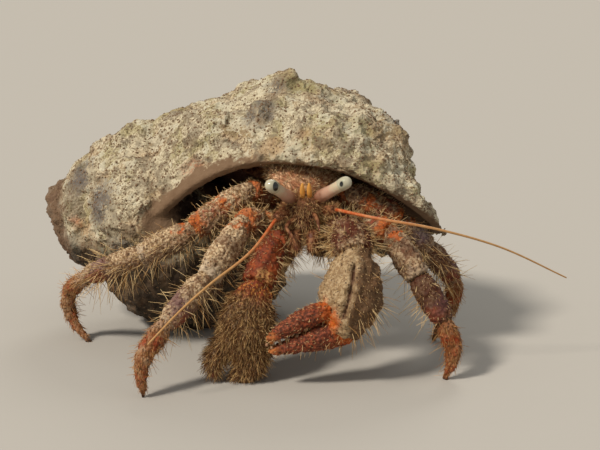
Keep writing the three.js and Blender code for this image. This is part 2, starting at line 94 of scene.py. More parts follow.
def span(before, start, end, after, share):
    knots = [0.0]
    for a, b in ((before, start), (start, end), (end, after)):
        knots.append(knots[-1] + max(math.sqrt((b - a).length), 1e-6))
    t = knots[1] + (knots[2] - knots[1]) * share

    def blend(a, b, ta, tb):
        return a * ((tb - t) / (tb - ta)) + b * ((t - ta) / (tb - ta))

    a1 = blend(before, start, knots[0], knots[1])
    a2 = blend(start, end, knots[1], knots[2])
    a3 = blend(end, after, knots[2], knots[3])
    return blend(blend(a1, a2, knots[0], knots[2]), blend(a2, a3, knots[1], knots[3]), knots[1], knots[2])


def smooth(points, closed=False):
    count = len(points)
    if closed:
        ring = [points[-1], *points, points[0], points[1]]
        spans = count
    else:
        ring = [points[0] * 2 - points[1], *points, points[-1] * 2 - points[-2]]
        spans = count - 1
    found = []
    for k in range(spans):
        for step in range(SPAN_STEPS):
            found.append(span(*ring[k:k + 4], step / SPAN_STEPS))
    if not closed:
        found.append(points[-1].copy())
    return found


class Line:
    """A smooth line read by its share of the length; it runs on straight past both ends."""

    def __init__(self, points):
        self.points = smooth(points)
        self.run = [0.0]
        for a, b in zip(self.points, self.points[1:]):
            self.run.append(self.run[-1] + (b - a).length)
        self.length = self.run[-1]

    def point(self, share):
        goal = share * self.length
        k = int(np.searchsorted(self.run, goal)) - 1
        k = min(max(k, 0), len(self.points) - 2)
        part = (goal - self.run[k]) / (self.run[k + 1] - self.run[k])
        return self.points[k].lerp(self.points[k + 1], part)

    def along(self, share):
        step = 0.01
        return (self.point(share + step) - self.point(share - step)).normalized()

# %% [markdown]
# ## Working on one piece
# An operator acts on all that is selected, so every step selects its own piece first. A finished piece
# sits at the origin with its place in its mesh, and its points can be read and moved as an array.

# %% Selecting, applying and moving points
def only(piece):
    if bpy.context.object and bpy.context.object.mode != "OBJECT":
        bpy.ops.object.mode_set(mode="OBJECT")
    bpy.ops.object.select_all(action="DESELECT")
    piece.select_set(True)
    bpy.context.view_layer.objects.active = piece


def apply_modifier(piece, kind, **settings):
    only(piece)
    modifier = piece.modifiers.new(kind.lower(), kind)
    for key, value in settings.items():
        setattr(modifier, key, value)
    bpy.ops.object.modifier_apply(modifier=modifier.name)


def to_origin(piece):
    only(piece)
    bpy.ops.object.transform_apply(location=True, rotation=True, scale=True)


def vertex_places(piece):
    places = np.empty(len(piece.data.vertices) * 3)
    piece.data.vertices.foreach_get("co", places)
    return places.reshape(-1, 3)


def move_points(piece, places):
    piece.data.vertices.foreach_set("co", np.asarray(places).ravel())
    piece.data.update()


def face_outwards():
    """Ends edit mode with every face turned outwards."""
    bpy.ops.mesh.select_all(action="SELECT")
    bpy.ops.mesh.normals_make_consistent(inside=False)
    bpy.ops.object.mode_set(mode="OBJECT")

# %% [markdown]
# ## Tubes of armour
# Each length of a leg is a closed, rounded tube: a stack of circles, each added at its place, turn and
# size, then bridged into a wall and filled at both ends. Extruding one circle again and again would do
# too, but the circles keep their exact sizes this way. Subdivision rounds the wall.

# %% Rings, bridged and rounded
made = {}


def add_ring(centre, along, up, wide, high, sides):
    side = up.cross(along).normalized()
    top = along.cross(side).normalized()
    turn = Matrix((side, top, along)).transposed()
    bpy.ops.mesh.primitive_circle_add(
        vertices=sides, radius=1, location=centre, rotation=turn.to_euler())
    bpy.ops.transform.resize(
        value=(wide, high, 1), orient_type="LOCAL", orient_matrix_type="LOCAL",
        orient_matrix=turn, center_override=centre)


def ring_body(name, rings, sides=12, levels=2):
    """rings holds (centre, along, up, half width, half height) for each circle."""
    bpy.ops.object.select_all(action="DESELECT")
    bpy.ops.mesh.primitive_circle_add(vertices=3, radius=MM, location=(0, 0, 0))
    piece = bpy.context.object
    piece.name = name
    piece.data.name = name
    bpy.ops.object.mode_set(mode="EDIT")
    bpy.ops.mesh.select_all(action="SELECT")
    bpy.ops.mesh.delete(type="VERT")
    swell = 3 / (2 + math.cos(2 * math.pi / sides))  # rounding a ring draws it in by this much
    for centre, along, up, wide, high in rings:
        add_ring(centre, along, up, wide * swell, high * swell, sides)
    bpy.ops.mesh.select_all(action="SELECT")
    bpy.ops.mesh.bridge_edge_loops()
    bpy.ops.mesh.select_all(action="DESELECT")
    bpy.ops.mesh.select_non_manifold()
    bpy.ops.mesh.fill_holes(sides=0)
    bpy.ops.mesh.select_all(action="SELECT")
    bpy.ops.mesh.normals_make_consistent(inside=False)
    bpy.ops.uv.smart_project(angle_limit=math.radians(66), island_margin=0.02)
    bpy.ops.object.mode_set(mode="OBJECT")
    piece.data.uv_layers[0].name = "OFBake"
    to_origin(piece)
    apply_modifier(piece, "SUBSURF", levels=levels, render_levels=levels)
    bpy.ops.object.shade_smooth()
    made[name] = piece
    return piece


def keep_off_floor(piece):
    """Flattens what would reach through the floor onto a small flat."""
    places = vertex_places(piece)
    places[:, 2] = np.maximum(places[:, 2], FLOOR_CLEARANCE)
    move_points(piece, places)

# %% [markdown]
# Grains and dimples are pushed out of the wall with procedural textures, so that they break the
# outline and throw shadows, which a bump in the material can't do.

# %% Relief
def relief(piece, kind, grain, height, middle=0.5, group="", **settings):
    """Pushes the wall out by a texture with grains and heights in millimetres."""
    texture = bpy.data.textures.new(f"{piece.name}_{kind.lower()}", kind)
    texture.noise_scale = grain * MM
    for key, value in settings.items():
        setattr(texture, key, value)
    apply_modifier(piece, "DISPLACE", texture=texture, texture_coords="LOCAL",
                   strength=height * MM, mid_level=middle, vertex_group=group)

# %% [markdown]
# A walking leg's tube starts as a narrow neck inside the tube before it, swells, and ends in a collar
# that the next neck comes out of. That is how crab armour bends without showing flesh.

# %% Profile of one length of armour
# (share of the length, share of the full thickness)
TUBE_PROFILE = [
    (-0.10, 0.66), (-0.03, 0.78), (0.03, 0.92), (0.09, 1.0), (0.20, 1.02), (0.34, 1.0), (0.50, 0.99),
    (0.66, 0.99), (0.80, 1.0), (0.90, 1.03), (0.97, 1.0), (1.01, 0.84),
]
TIP_PROFILE = [
    (-0.10, 0.70), (-0.03, 0.82), (0.04, 0.94), (0.12, 1.0), (0.24, 1.0), (0.36, 1.0), (0.48, 1.0),
    (0.60, 1.0), (0.72, 1.0), (0.83, 1.0), (0.92, 0.9), (0.98, 0.7),
]


def tube(name, line, wide, high, up, profile=TUBE_PROFILE, sides=12, levels=2):
    shares = np.linspace(0, 1, len(wide))
    rings = []
    for share, part in profile:
        w = float(np.interp(share, shares, wide)) * part * MM
        h = float(np.interp(share, shares, high)) * part * MM
        rings.append((line.point(share), line.along(share), up, w, h))
    return ring_body(name, rings, sides, levels)

# %% [markdown]
# ## Walking legs
# Four legs show: the second and third pair. Each has five lengths, from the short base inside the
# shell's mouth to the curved, dark-tipped toe that stands on the floor.

# %% Walking legs
LEG_PARTS = ["coxa", "merus", "carpus", "propodus", "dactyl"]
LEG_HALF_SIZES = {
    "coxa": [2.5, 2.9, 2.6],
    "merus": [2.3, 2.9, 3.2, 3.1, 2.5],
    "carpus": [2.2, 3.0, 3.2, 2.5],
    "propodus": [2.2, 2.8, 2.8, 2.6, 2.0],
    "dactyl": [1.8, 2.1, 1.9, 1.5, 1.05, 0.5],
}
LEGS = {
    "leg2_right": dict(
        joints=[at(-4.8, 8.4, 27.0), at(-8.2, 3.2, 28.6), at(-11.6, -6.2, 30.8),
                at(-18.6, -13.5, 20.9), at(-26.6, -20.3, 13.2), at(-30.6, -25.8, -0.5)],
        toe=[at(-30.8, -25.2, 7.2)], size=1.06, up=way(0.3, 0.2, 1), toe_up=way(-1, -0.8, 0.3)),
    "leg3_right": dict(
        joints=[at(-5.2, 12.4, 31.4), at(-10.6, 3.8, 35.6), at(-22.2, 0.4, 28.0),
                at(-33.6, 3.6, 21.6), at(-46.0, 9.6, 15.8), at(-45.8, 12.6, -0.5)],
        toe=[at(-50.8, 13.8, 10.4), at(-50.2, 14.6, 4.6)], size=0.97, up=way(0, 0.1, 1),
        toe_up=way(-1, -0.4, 0.2)),
    "leg2_left": dict(
        joints=[at(6.4, 8.8, 26.8), at(10.8, 4.4, 28.0), at(18.5, -5.0, 28.6),
                at(24.0, -9.8, 20.2), at(29.3, -12.8, 11.7), at(29.2, -14.2, -0.5)],
        toe=[at(31.0, -14.0, 5.8)], size=1.02, up=way(-0.3, 0.2, 1), toe_up=way(1, -0.5, 0.3)),
    "leg3_left": dict(
        joints=[at(6.2, 13.0, 31.4), at(10.6, 6.4, 34.8), at(21.0, 4.8, 28.8),
                at(27.2, 8.2, 22.2), at(33.6, 14.2, 14.2), at(29.0, 13.4, -0.5)],
        toe=[at(33.8, 16.0, 8.8), at(31.6, 15.2, 3.6)], size=1.02, up=way(0, 0.1, 1),
        toe_up=way(1, 0.4, 0.2)),
}
LEG_FLATNESS = 0.86  # a leg's width across, as a share of its height
lines = {}


def walking_leg(leg, plan):
    joints = plan["joints"]
    for k, part in enumerate(LEG_PARTS):
        name = f"{leg}_{part}"
        via = plan["toe"] if part == "dactyl" else []
        line = Line([joints[k], *via, joints[k + 1]])
        high = [size * plan["size"] for size in LEG_HALF_SIZES[part]]
        wide = [size * LEG_FLATNESS for size in high]
        up = plan["toe_up"] if part == "dactyl" else plan["up"]
        profile = TIP_PROFILE if part == "dactyl" else TUBE_PROFILE
        lines[name] = line
        piece = tube(name + "_armour", line, wide, high, up, profile, levels=3)
        relief(piece, "CLOUDS", 1.8, 0.7, noise_depth=2)
        relief(piece, "VORONOI", 0.8, -0.5, middle=0.25)
        keep_off_floor(piece)


for leg, plan in LEGS.items():
    walking_leg(leg, plan)
print("leg pieces:", len(made))

# %% [markdown]
# ## Claws
# The left claw is the large one: a swollen palm with a fixed finger, and a movable finger hinged on
# its front edge. Both fingers cross in front of the mouth. The right claw is smaller and points down.

# %% Claws
CLAWS = {
    "claw_left": dict(
        joints=[at(3.3, 4.6, 23.4), at(9.6, -6.6, 30.4), at(10.9, -13.6, 25.8), at(8.0, -17.6, 10.2)],
        merus=([2.4, 3.0, 3.4, 3.0], [2.6, 3.2, 3.4, 3.0]),
        carpus=([2.9, 4.1, 4.5, 3.6], [2.8, 3.8, 4.0, 3.3]),
        palm_via=at(10.4, -16.4, 18.6), palm_up=way(1, 0, 0.3),
        palm=([3.2, 4.4, 4.8, 4.4, 3.2], [4.0, 5.8, 6.5, 5.8, 3.6]),
        fixed=[at(9.4, -17.4, 11.8), at(3.2, -18.6, 10.0), at(-6.6, -20.2, 7.4)],
        fixed_sizes=([3.0, 2.9, 2.5, 1.8, 0.8], [3.6, 3.0, 2.4, 1.6, 0.8]), fixed_up=way(0.3, 0, 1),
        movable=[at(6.2, -18.2, 16.2), at(-1.2, -19.6, 13.2), at(-7.0, -20.6, 9.7)],
        movable_sizes=([2.2, 2.6, 2.3, 1.7, 0.8], [1.9, 2.2, 2.0, 1.5, 0.8]), movable_up=way(0.3, 0, 1)),
    "claw_right": dict(
        joints=[at(-2.0, 4.4, 23.2), at(-5.6, -5.2, 26.2), at(-8.6, -11.2, 19.0), at(-11.6, -14.4, 5.4)],
        merus=([2.4, 2.9, 3.3, 3.0], [2.3, 2.9, 3.2, 3.0]),
        carpus=([2.8, 3.6, 3.8, 3.4], [2.6, 3.3, 3.6, 3.2]),
        palm_via=at(-10.6, -13.6, 12.6), palm_up=way(1, 0, 0.2),
        palm=([2.6, 3.6, 4.0, 3.4], [3.0, 4.8, 5.6, 4.4]),
        fixed=[at(-9.8, -14.4, 7.4), at(-10.4, -15.0, 3.6), at(-12.2, -15.6, -0.6)],
        fixed_sizes=([3.0, 2.6, 2.1, 1.3], [3.8, 3.6, 2.8, 1.5]), fixed_up=way(1, 0, 0.2),
        movable=[at(-14.6, -14.4, 8.8), at(-16.9, -15.2, 5.2), at(-17.4, -15.8, 0.8)],
        movable_sizes=([1.9, 2.1, 1.7, 0.8], [2.0, 2.4, 2.0, 0.9]), movable_up=way(1, 0, 0.2)),
}
ARM_UP = way(0, 0.2, 1)


def claw(name, plan):
    joints = plan["joints"]
    parts = {
        "merus": ([joints[0], joints[1]], plan["merus"], ARM_UP, TUBE_PROFILE),
        "carpus": ([joints[1], joints[2]], plan["carpus"], ARM_UP, TUBE_PROFILE),
        "palm": ([joints[2], plan["palm_via"], joints[3]], plan["palm"], plan["palm_up"], TUBE_PROFILE),
        "fixed_finger": (plan["fixed"], plan["fixed_sizes"], plan["fixed_up"], TIP_PROFILE),
        "movable_finger": (plan["movable"], plan["movable_sizes"], plan["movable_up"], TIP_PROFILE),
    }
    for part, (points, (wide, high), up, profile) in parts.items():
        key = f"{name}_{part}"
        lines[key] = Line(points)
        piece = tube(key + "_armour", lines[key], wide, high, up, profile, levels=3)
        if part == "palm":
            relief(piece, "CLOUDS", 4.0, 1.3, noise_depth=1)
        relief(piece, "CLOUDS", 2.0, 0.6, noise_depth=2)
        relief(piece, "VORONOI", 0.9, -0.5, middle=0.25)
        keep_off_floor(piece)


for name, plan in CLAWS.items():
    claw(name, plan)
print("pieces so far:", len(made))

# %% [markdown]
# ## Head and body
# The soft belly follows the hollow of the shell, so the way the shell is wound comes first: a point
# of its mouth, turned back round the axis, shrinks in girth and length by the same share each turn. A
# spiral could be drawn by hand, but this rule gives shell and belly the same turns.

# %% How the shell is wound
AXIS_POINT = Vector((0.0, 27.8, 22.9))
AXIS_YAW = math.radians(8.3)
AXIS_DIP = math.radians(2.9)
GIRTH_PER_TURN = 1.59
LENGTH_PER_TURN = 2.4
SPIRE_END = -58.8
LIP_ANGLE = math.radians(55.5)
AXIS = Vector((math.cos(AXIS_YAW) * math.cos(AXIS_DIP), -math.sin(AXIS_YAW) * math.cos(AXIS_DIP),
               -math.sin(AXIS_DIP)))
OVERHEAD = (Vector((0, 0, 1)) - AXIS * AXIS.z).normalized()
FORWARD = OVERHEAD.cross(AXIS).normalized()
if FORWARD.y > 0:
    FORWARD.negate()


def wound(along, away, turn):
    """A point of the shell: laid out along and away from the axis at the lip, wound back by turns."""
    length = SPIRE_END + (along - SPIRE_END) * LENGTH_PER_TURN ** turn
    girth = away * GIRTH_PER_TURN ** turn
    angle = LIP_ANGLE + 2 * math.pi * turn
    spot = AXIS_POINT + AXIS * length
    spot += OVERHEAD * (girth * math.cos(angle)) + FORWARD * (girth * math.sin(angle))
    return (spot + SHIFT) * MM

# %% [markdown]
# The hard shield roofs the head. It is one more tube, wide and low, with fine granules.

# %% Shield
BODY_UP = way(0.2, -0.2, 1)
shield_line = Line([at(0.8, 0.6, 35.4), at(0.7, 5.4, 37.9), at(0.4, 11.2, 39.6)])
shield = tube("shield_plate", shield_line, [3.2, 6.4, 7.7, 7.6, 6.6], [1.2, 2.2, 2.7, 2.7, 2.4],
              BODY_UP, sides=16, levels=3)
relief(shield, "CLOUDS", 2.4, 0.5, noise_depth=2)
relief(shield, "VORONOI", 0.9, -0.3, middle=0.25)
print("shield:", len(shield.data.vertices), "vertices,", round(shield_line.length / MM, 1), "mm long")

# %% [markdown]
# Behind the shield the armour turns soft. The belly is one skin without seams that curls down into
# the hollow, creased where its rings meet, and ends in a small tail fan that grips the pillar.

# %% Belly
belly_line = Line([at(0.4, 11.0, 39.6), at(-1.6, 20.4, 40.8),
                   *(wound(-2, 19, turn) for turn in (-0.24, -0.31, -0.38, -0.45, -0.52, -0.59))])
# share of the length, half width, half height
BELLY_HALF = [(0.0, 5.4, 2.5), (0.12, 6.0, 4.0), (0.3, 5.5, 4.2), (0.5, 5.9, 5.3), (0.7, 5.6, 5.0),
              (0.84, 4.8, 4.4), (0.92, 3.4, 3.0), (0.96, 2.9, 2.3), (1.0, 1.4, 1.0)]
BELLY_RINGS = 26
BELLY_CREASES = 7
CREASE_DEPTH = 0.05
belly_shares, belly_wide, belly_high = zip(*BELLY_HALF)
belly_rings = []
for share in np.linspace(0, 1, BELLY_RINGS):
    crease = 1 - CREASE_DEPTH * (0.5 + 0.5 * math.cos(share * BELLY_CREASES * 2 * math.pi))
    belly_rings.append((belly_line.point(share), belly_line.along(share), BODY_UP,
                        float(np.interp(share, belly_shares, belly_wide)) * crease * MM,
                        float(np.interp(share, belly_shares, belly_high)) * crease * MM))
belly = ring_body("belly_skin", belly_rings, 14, 2)
print("belly:", round(belly_line.length / MM, 1), "mm long")

# %% [markdown]
# The front of the face slopes from between the eyes down to the mouth. It has no plate of its own in
# the solids, so this short tube is an added piece that fills the gap behind the feelers.

# %% Front of the face
face_line = Line([at(1.1, -0.6, 35.2), at(1.1, -3.4, 33.4), at(0.9, -4.6, 30.6), at(0.8, -4.0, 28.2)])
face_front = tube("face_front", face_line, [3.0, 3.3, 2.5, 1.3], [1.6, 1.7, 1.4, 0.9], way(0, -1, 0.3),
                  sides=12, levels=3)
relief(face_front, "CLOUDS", 1.3, 0.6, noise_depth=2)
relief(face_front, "VORONOI", 0.8, -0.5, middle=0.25)
print("pieces so far:", len(made))

# %% [markdown]
# ## Eyes
# Each eye is a stalk with a clear cap. The cap is its own piece, because it is wet and glossy while
# the stalk is only satin. The small pointed scales between the stalks are bright orange.

# %% Eyes and scales
EYES = {"left": (at(3.8, -2.8, 35.3), at(10.3, -6.2, 39.7)),
        "right": (at(-1.6, -2.8, 35.0), at(-6.6, -8.8, 39.5))}
UPRIGHT = way(0, 0, 1)
# share of the stalk's length, radius
STALK_RINGS = [(-0.08, 1.15), (0.0, 1.4), (0.1, 1.42), (0.26, 1.3), (0.42, 1.18), (0.56, 1.17),
               (0.66, 1.25), (0.72, 1.28)]
CAP_RINGS = [(0.66, 1.16), (0.68, 1.28), (0.74, 1.38), (0.82, 1.4), (0.90, 1.23), (0.96, 0.88),
             (0.992, 0.4)]
for side, (root, end) in EYES.items():
    line = Line([root, end])
    lines["eye_" + side] = line
    for kind, rings in (("stalk", STALK_RINGS), ("cap", CAP_RINGS)):
        stack = [(line.point(t), line.along(t), UPRIGHT, r * MM, r * MM) for t, r in rings]
        ring_body(f"eye_{kind}_{side}", stack, 14, 2)

SCALES = {"left": [at(1.95, -2.8, 35.3), at(1.9, -3.6, 36.9), at(1.85, -4.2, 38.7)],
          "right": [at(0.5, -2.8, 35.3), at(0.45, -3.6, 36.9), at(0.5, -4.2, 38.7)]}
SCALE_RINGS = [(-0.1, 0.4), (0.1, 0.52), (0.4, 0.56), (0.7, 0.46), (0.9, 0.28), (1.0, 0.1)]
SCALE_FLATNESS = 0.8
for side, points in SCALES.items():
    line = Line(points)
    stack = [(line.point(t), line.along(t), UPRIGHT, r * MM, r * MM * SCALE_FLATNESS)
             for t, r in SCALE_RINGS]
    ring_body("scale_" + side, stack, 10, 2)
print("pieces so far:", len(made))

# %% [markdown]
# ## Feelers and mouth
# The long feelers are whips of tiny rings, thinner toward the end. The short ones in front bend at an
# elbow. Two leg-like mouth limbs hang under the face, and two pairs of small legs hold the shell from
# inside. All are stacks of rings that swell and narrow by turns, which marks their many joints.

# %% Feelers
# points, radii along them, number of rings
FEELERS = {
    "antenna_left": ([at(6.9, -6.2, 33.6), at(15.4, -12.6, 33.0), at(27.0, -12.6, 30.9),
                      at(40.6, -8.4, 26.2), at(55.5, -2.2, 18.2)], [0.36, 0.24, 0.15], 60),
    "antenna_right": ([at(-4.6, -6.8, 32.0), at(-9.8, -14.6, 26.6), at(-17.7, -21.4, 21.6),
                       at(-23.1, -26.0, 17.6), at(-29.1, -31.0, 12.2)], [0.38, 0.26, 0.18], 44),
    "antenna_left_base": (
        [at(4.4, -1.0, 31.9), at(5.8, -4.0, 32.8), at(7.2, -6.6, 33.7)], [1.15, 1.3, 0.9], 8),
    "antenna_right_base": (
        [at(-2.0, -1.2, 32.4), at(-3.4, -4.4, 32.4), at(-5.0, -7.4, 31.8)], [1.15, 1.3, 0.9], 8),
    "antennule_left": (
        [at(2.2, -2.4, 32.4), at(3.4, -7.6, 32.0), at(4.0, -10.4, 29.8)], [0.6, 0.42, 0.2], 14),
    "antennule_right": ([at(0.2, -2.4, 31.6), at(-2.8, -8.0, 30.2), at(-1.6, -9.6, 28.8),
                         at(-0.3, -10.4, 25.8)], [0.6, 0.4, 0.2], 18),
    "mouth_limb_left": (
        [at(2.2, -2.0, 28.6), at(2.6, -5.8, 27.8), at(2.2, -7.4, 24.8)], [1.1, 1.4, 0.7], 10),
    "mouth_limb_right": (
        [at(-0.6, -2.0, 28.6), at(-1.0, -5.8, 27.8), at(-0.6, -7.4, 24.8)], [1.1, 1.4, 0.7], 10),
    "leg4_right": (
        [at(-5.2, 17.0, 31.6), at(-10.2, 17.4, 30.4), at(-12.6, 12.6, 31.6)], [1.5, 1.7, 0.7], 12),
    "leg4_left": ([at(5.0, 17.4, 31.6), at(10.4, 17.6, 31.0), at(13.4, 13.0, 31.8)], [1.5, 1.7, 0.7], 12),
    "leg5_right": (
        [at(-4.6, 21.0, 34.6), at(-9.6, 24.0, 36.0), at(-12.6, 20.0, 37.2)], [1.1, 1.2, 0.5], 12),
    "leg5_left": ([at(3.6, 21.0, 34.8), at(8.6, 24.4, 36.4), at(11.8, 20.6, 37.6)], [1.1, 1.2, 0.5], 12),
}
RING_SWELL = 0.07  # each joint of a feeler is this much thicker at its end
FEELER_UP = way(0.1, 0.3, 1)
for name, (points, sizes, count) in FEELERS.items():
    line = Line(points)
    lines[name] = line
    stack = []
    for k, share in enumerate(np.linspace(0, 1, count)):
        r = float(np.interp(share, np.linspace(0, 1, len(sizes)), sizes))
        r *= 1 + RING_SWELL * (1 if k % 2 else -1)
        stack.append((line.point(share), line.along(share), FEELER_UP, r * MM, r * MM))
    thin = sizes[0] < 1
    ring_body(name + "_piece", stack, 8 if thin else 12, 1 if thin else 2)
print("pieces so far:", len(made))

# %% [markdown]
# ## The snail shell
# A snail builds its shell by one small step, repeated: it adds a little to the mouth's rim, turned a
# little round the axis and grown a little. Going back from the mouth, the same step is an extrude, a
# turn and a shrink of one ring. The wall's outer and inner rings are swept together, the old whorls
# are swept solid, and a voxel remesh melts them into one closed body.

# %% Section of the mouth
# corners, as (along the axis, away from the axis), and how far each runs on past the lip, in turns
SECTION = [(-32.5, 16.5), (-29.6, 22.6), (-20, 28.6), (-6, 33.4), (10, 34.6), (22, 32.2),
           (28.6, 23.6), (29.4, 12), (24, 4.5), (10, 4.2), (-8, 5.0), (-24, 9.1)]
RIM = [0.09, 0.062, 0.022, 0, 0, 0.018, 0.036, 0.05, 0.055, 0.055, 0.06, 0.08]
WALL_ALONG = 0.91  # the hollow's size, as a share of the outside's
WALL_AWAY = 0.8
HOLLOW_ALONG = -3.4  # the point that the section is drawn in towards
HOLLOW_AWAY = 19.5
RIM_SCALE = 100  # writes the rim's turns about as large as the corners, to smooth both at once
RING_POINTS = 48
STEPS_PER_TURN = 40


def mouth_ring(turn, inner=False):
    corners = smooth([Vector((a, b, RIM_SCALE * r)) for (a, b), r in zip(SECTION, RIM)], closed=True)
    every = len(corners) // RING_POINTS
    ring = []
    for corner in corners[::every]:
        along, away = corner.x, corner.y
        if inner:
            along = HOLLOW_ALONG + (along - HOLLOW_ALONG) * WALL_ALONG
            away = HOLLOW_AWAY + (away - HOLLOW_AWAY) * WALL_AWAY
        ring.append(wound(along, away, turn + corner.z / RIM_SCALE))
    return ring

# %% [markdown]
# Each step extrudes the rings, turns the new ones round the axis and shrinks them toward the apex.
# A screw modifier would turn and lift them, but it can't shrink them as it goes.

# %% One step of growth, repeated
APEX = (AXIS_POINT + AXIS * SPIRE_END + SHIFT) * MM
AXIS_FRAME = Matrix((OVERHEAD, AXIS.cross(OVERHEAD), AXIS)).transposed()


def start_rings(name, rings):
    """Adds circles and lays their points on the rings."""
    bpy.ops.object.select_all(action="DESELECT")
    bpy.ops.mesh.primitive_circle_add(vertices=RING_POINTS, radius=MM)
    piece = bpy.context.object
    piece.name = name
    bpy.ops.object.mode_set(mode="EDIT")
    for _ in rings[1:]:
        bpy.ops.mesh.primitive_circle_add(vertices=RING_POINTS, radius=MM)
    bpy.ops.object.mode_set(mode="OBJECT")
    move_points(piece, [tuple(point) for ring in rings for point in ring])
    return piece


def sweep_back(piece, turns):
    """Winds the rings back round the axis, one extruded step after another."""
    steps = round(turns * STEPS_PER_TURN)
    girth = GIRTH_PER_TURN ** (-1 / STEPS_PER_TURN)
    length = LENGTH_PER_TURN ** (-1 / STEPS_PER_TURN)
    only(piece)
    bpy.ops.object.mode_set(mode="EDIT")
    bpy.ops.mesh.select_all(action="SELECT")
    for _ in range(steps):
        bpy.ops.mesh.extrude_edges_move()
        bpy.ops.transform.rotate(
            value=-2 * math.pi / STEPS_PER_TURN, orient_axis="Z", orient_type="GLOBAL",
            orient_matrix_type="GLOBAL", orient_matrix=AXIS_FRAME,
            constraint_axis=(False, False, True), center_override=tuple(APEX))
        bpy.ops.transform.resize(
            value=(girth, girth, length), orient_type="LOCAL", orient_matrix_type="LOCAL",
            orient_matrix=AXIS_FRAME, center_override=APEX)
    bpy.ops.object.mode_set(mode="OBJECT")
    return piece


def close_ends(piece):
    only(piece)
    bpy.ops.object.mode_set(mode="EDIT")
    bpy.ops.mesh.select_all(action="DESELECT")
    bpy.ops.mesh.select_non_manifold()
    bpy.ops.mesh.fill_holes(sides=0)
    face_outwards()


def close_wall(piece):
    """Bridges the outer and inner ring at the lip, and again at the far end."""
    only(piece)
    last = len(piece.data.vertices) - 2 * RING_POINTS
    for start in (0, last):
        bpy.ops.object.mode_set(mode="EDIT")
        bpy.ops.mesh.select_all(action="DESELECT")
        bpy.ops.object.mode_set(mode="OBJECT")
        for vertex in piece.data.vertices[start:start + 2 * RING_POINTS]:
            vertex.select = True
        bpy.ops.object.mode_set(mode="EDIT")
        bpy.ops.mesh.bridge_edge_loops()
    face_outwards()

# %% [markdown]
# The last turn is a hollow wall, the older turns are swept solid, and a pillar runs down the axis.
# Rubbing on the ground has worn the very tip to a blunt cap.

# %% Wall, old whorls, pillar and worn tip
WALL_TURNS = 1.1
OLD_TURNS = 3.0
OLD_START = -0.95
wall = sweep_back(start_rings("shell_wall", [mouth_ring(0), mouth_ring(0, inner=True)]), WALL_TURNS)
close_wall(wall)
old = sweep_back(start_rings("shell_old_whorls", [mouth_ring(OLD_START)]), OLD_TURNS + OLD_START)
close_ends(old)


def on_axis(along):
    return (AXIS_POINT + AXIS * along + SHIFT) * MM


# place on the axis, radius
PILLAR = [(-54, 3), (-40, 5.5), (-26, 8.5), (-13, 8), (0, 6.4), (12, 5.4), (19, 4.6), (23, 3.2),
          (24.5, 1.4)]
TIP = [(-58.9, 1.5), (-58.2, 4.2), (-56.6, 6.2), (-54, 6.6), (-51, 5.6)]
cores = []
for name, core in (("shell_pillar", PILLAR), ("shell_tip", TIP)):
    stack = [(on_axis(a), AXIS, UPRIGHT, r * MM, r * MM) for a, r in core]
    cores.append(ring_body(name, stack, 16, 1))
    made.pop(name)
print("points of the wall and of the old whorls:", len(wall.data.vertices), len(old.data.vertices))

# %% [markdown]
# The parts overlap freely. A voxel remesh keeps only their common outside, so that no seam shows
# where an old whorl meets the wall, and a light smoothing takes away its steps.

# %% Melted into one body
SHELL_VOXEL = 0.6
only(wall)
for part in (old, *cores):
    part.select_set(True)
bpy.ops.object.join()
shell = wall
shell.name = "shell_body"
shell.data.name = "shell_body"
to_origin(shell)
apply_modifier(shell, "REMESH", mode="VOXEL", voxel_size=SHELL_VOXEL * MM)
apply_modifier(shell, "SMOOTH", factor=0.5, iterations=9)
print("shell:", len(shell.data.vertices), "vertices")

# %% [markdown]
# The crust isn't smooth: it rises in low lumps all over, and knobs and a shoulder hump stand on the
# last whorl. The lumps are four crossing waves, so that the same few numbers give them on the solids
# too, and each knob is pulled out at one point with a soft falloff, as a sculptor pulls clay.

# %% Lumps and knobs
# waves: direction, crest to crest, height, start; knobs: place, height, reach; all in millimetres
LUMP_WAVES = [((1, 0.3, 0.5), 21, 0.75, 0.4), ((-0.4, 1, 0.3), 18, 0.65, 2.1),
              ((0.2, -0.5, 1), 24, 0.7, 4.0), ((0.8, 0.7, -0.6), 16, 0.5, 1.2)]
KNOBS = [
    ((-36.8, 29.9, 46.0), 1.6, 8), ((-31.0, 26.0, 49.0), 1.2, 7), ((-22.0, 20.0, 52.0), 1.3, 8),
    ((-8.1, 11.4, 50.4), 1.6, 8), ((-2.0, 22.0, 55.5), 0.9, 8), ((17.0, 14.0, 49.0), 1.7, 9),
    ((24.0, 22.0, 45.0), 1.0, 8), ((-46.0, 22.0, 38.0), 1.0, 7), ((-12.0, 44.0, 44.0), 1.2, 9),
    ((-30.0, 44.0, 38.0), 1.1, 8), ((8.0, 40.0, 44.0), 1.1, 8), ((-30.0, 12.0, 26.0), 0.9, 7),
]
SPIRE_FADE = (-58, -30)  # on the axis: the lumps fade out over the small old whorls


def vertex_normals(piece):
    normals = np.empty(len(piece.data.vertices) * 3, np.float32)
    piece.data.vertex_normals.foreach_get("vector", normals)
    return normals.reshape(-1, 3)


def soft_step(low, high, values):
    share = np.clip((values - low) / (high - low), 0, 1)
    return share * share * (3 - 2 * share)


def on_bench(places):
    """Places in millimetres from the point under the animal's face, as `at` takes them."""
    return places / MM - np.array(SHIFT)


def bench_places(piece):
    return on_bench(vertex_places(piece))


def crust_height(places):
    height = np.zeros(len(places))
    for direction, length, rise, start in LUMP_WAVES:
        distance = places @ np.array(way(*direction))
        height += rise * np.sin(2 * math.pi * distance / length + start)
    for knob, rise, reach in KNOBS:
        gap = np.linalg.norm(places - np.array(knob), axis=1)
        height += rise * (1 - soft_step(0, reach, gap))
    along = (places - np.array(AXIS_POINT)) @ np.array(AXIS)
    return height * soft_step(*SPIRE_FADE, along)


def push_out(piece, heights):
    move_points(piece, vertex_places(piece) + vertex_normals(piece) * heights[:, None] * MM)

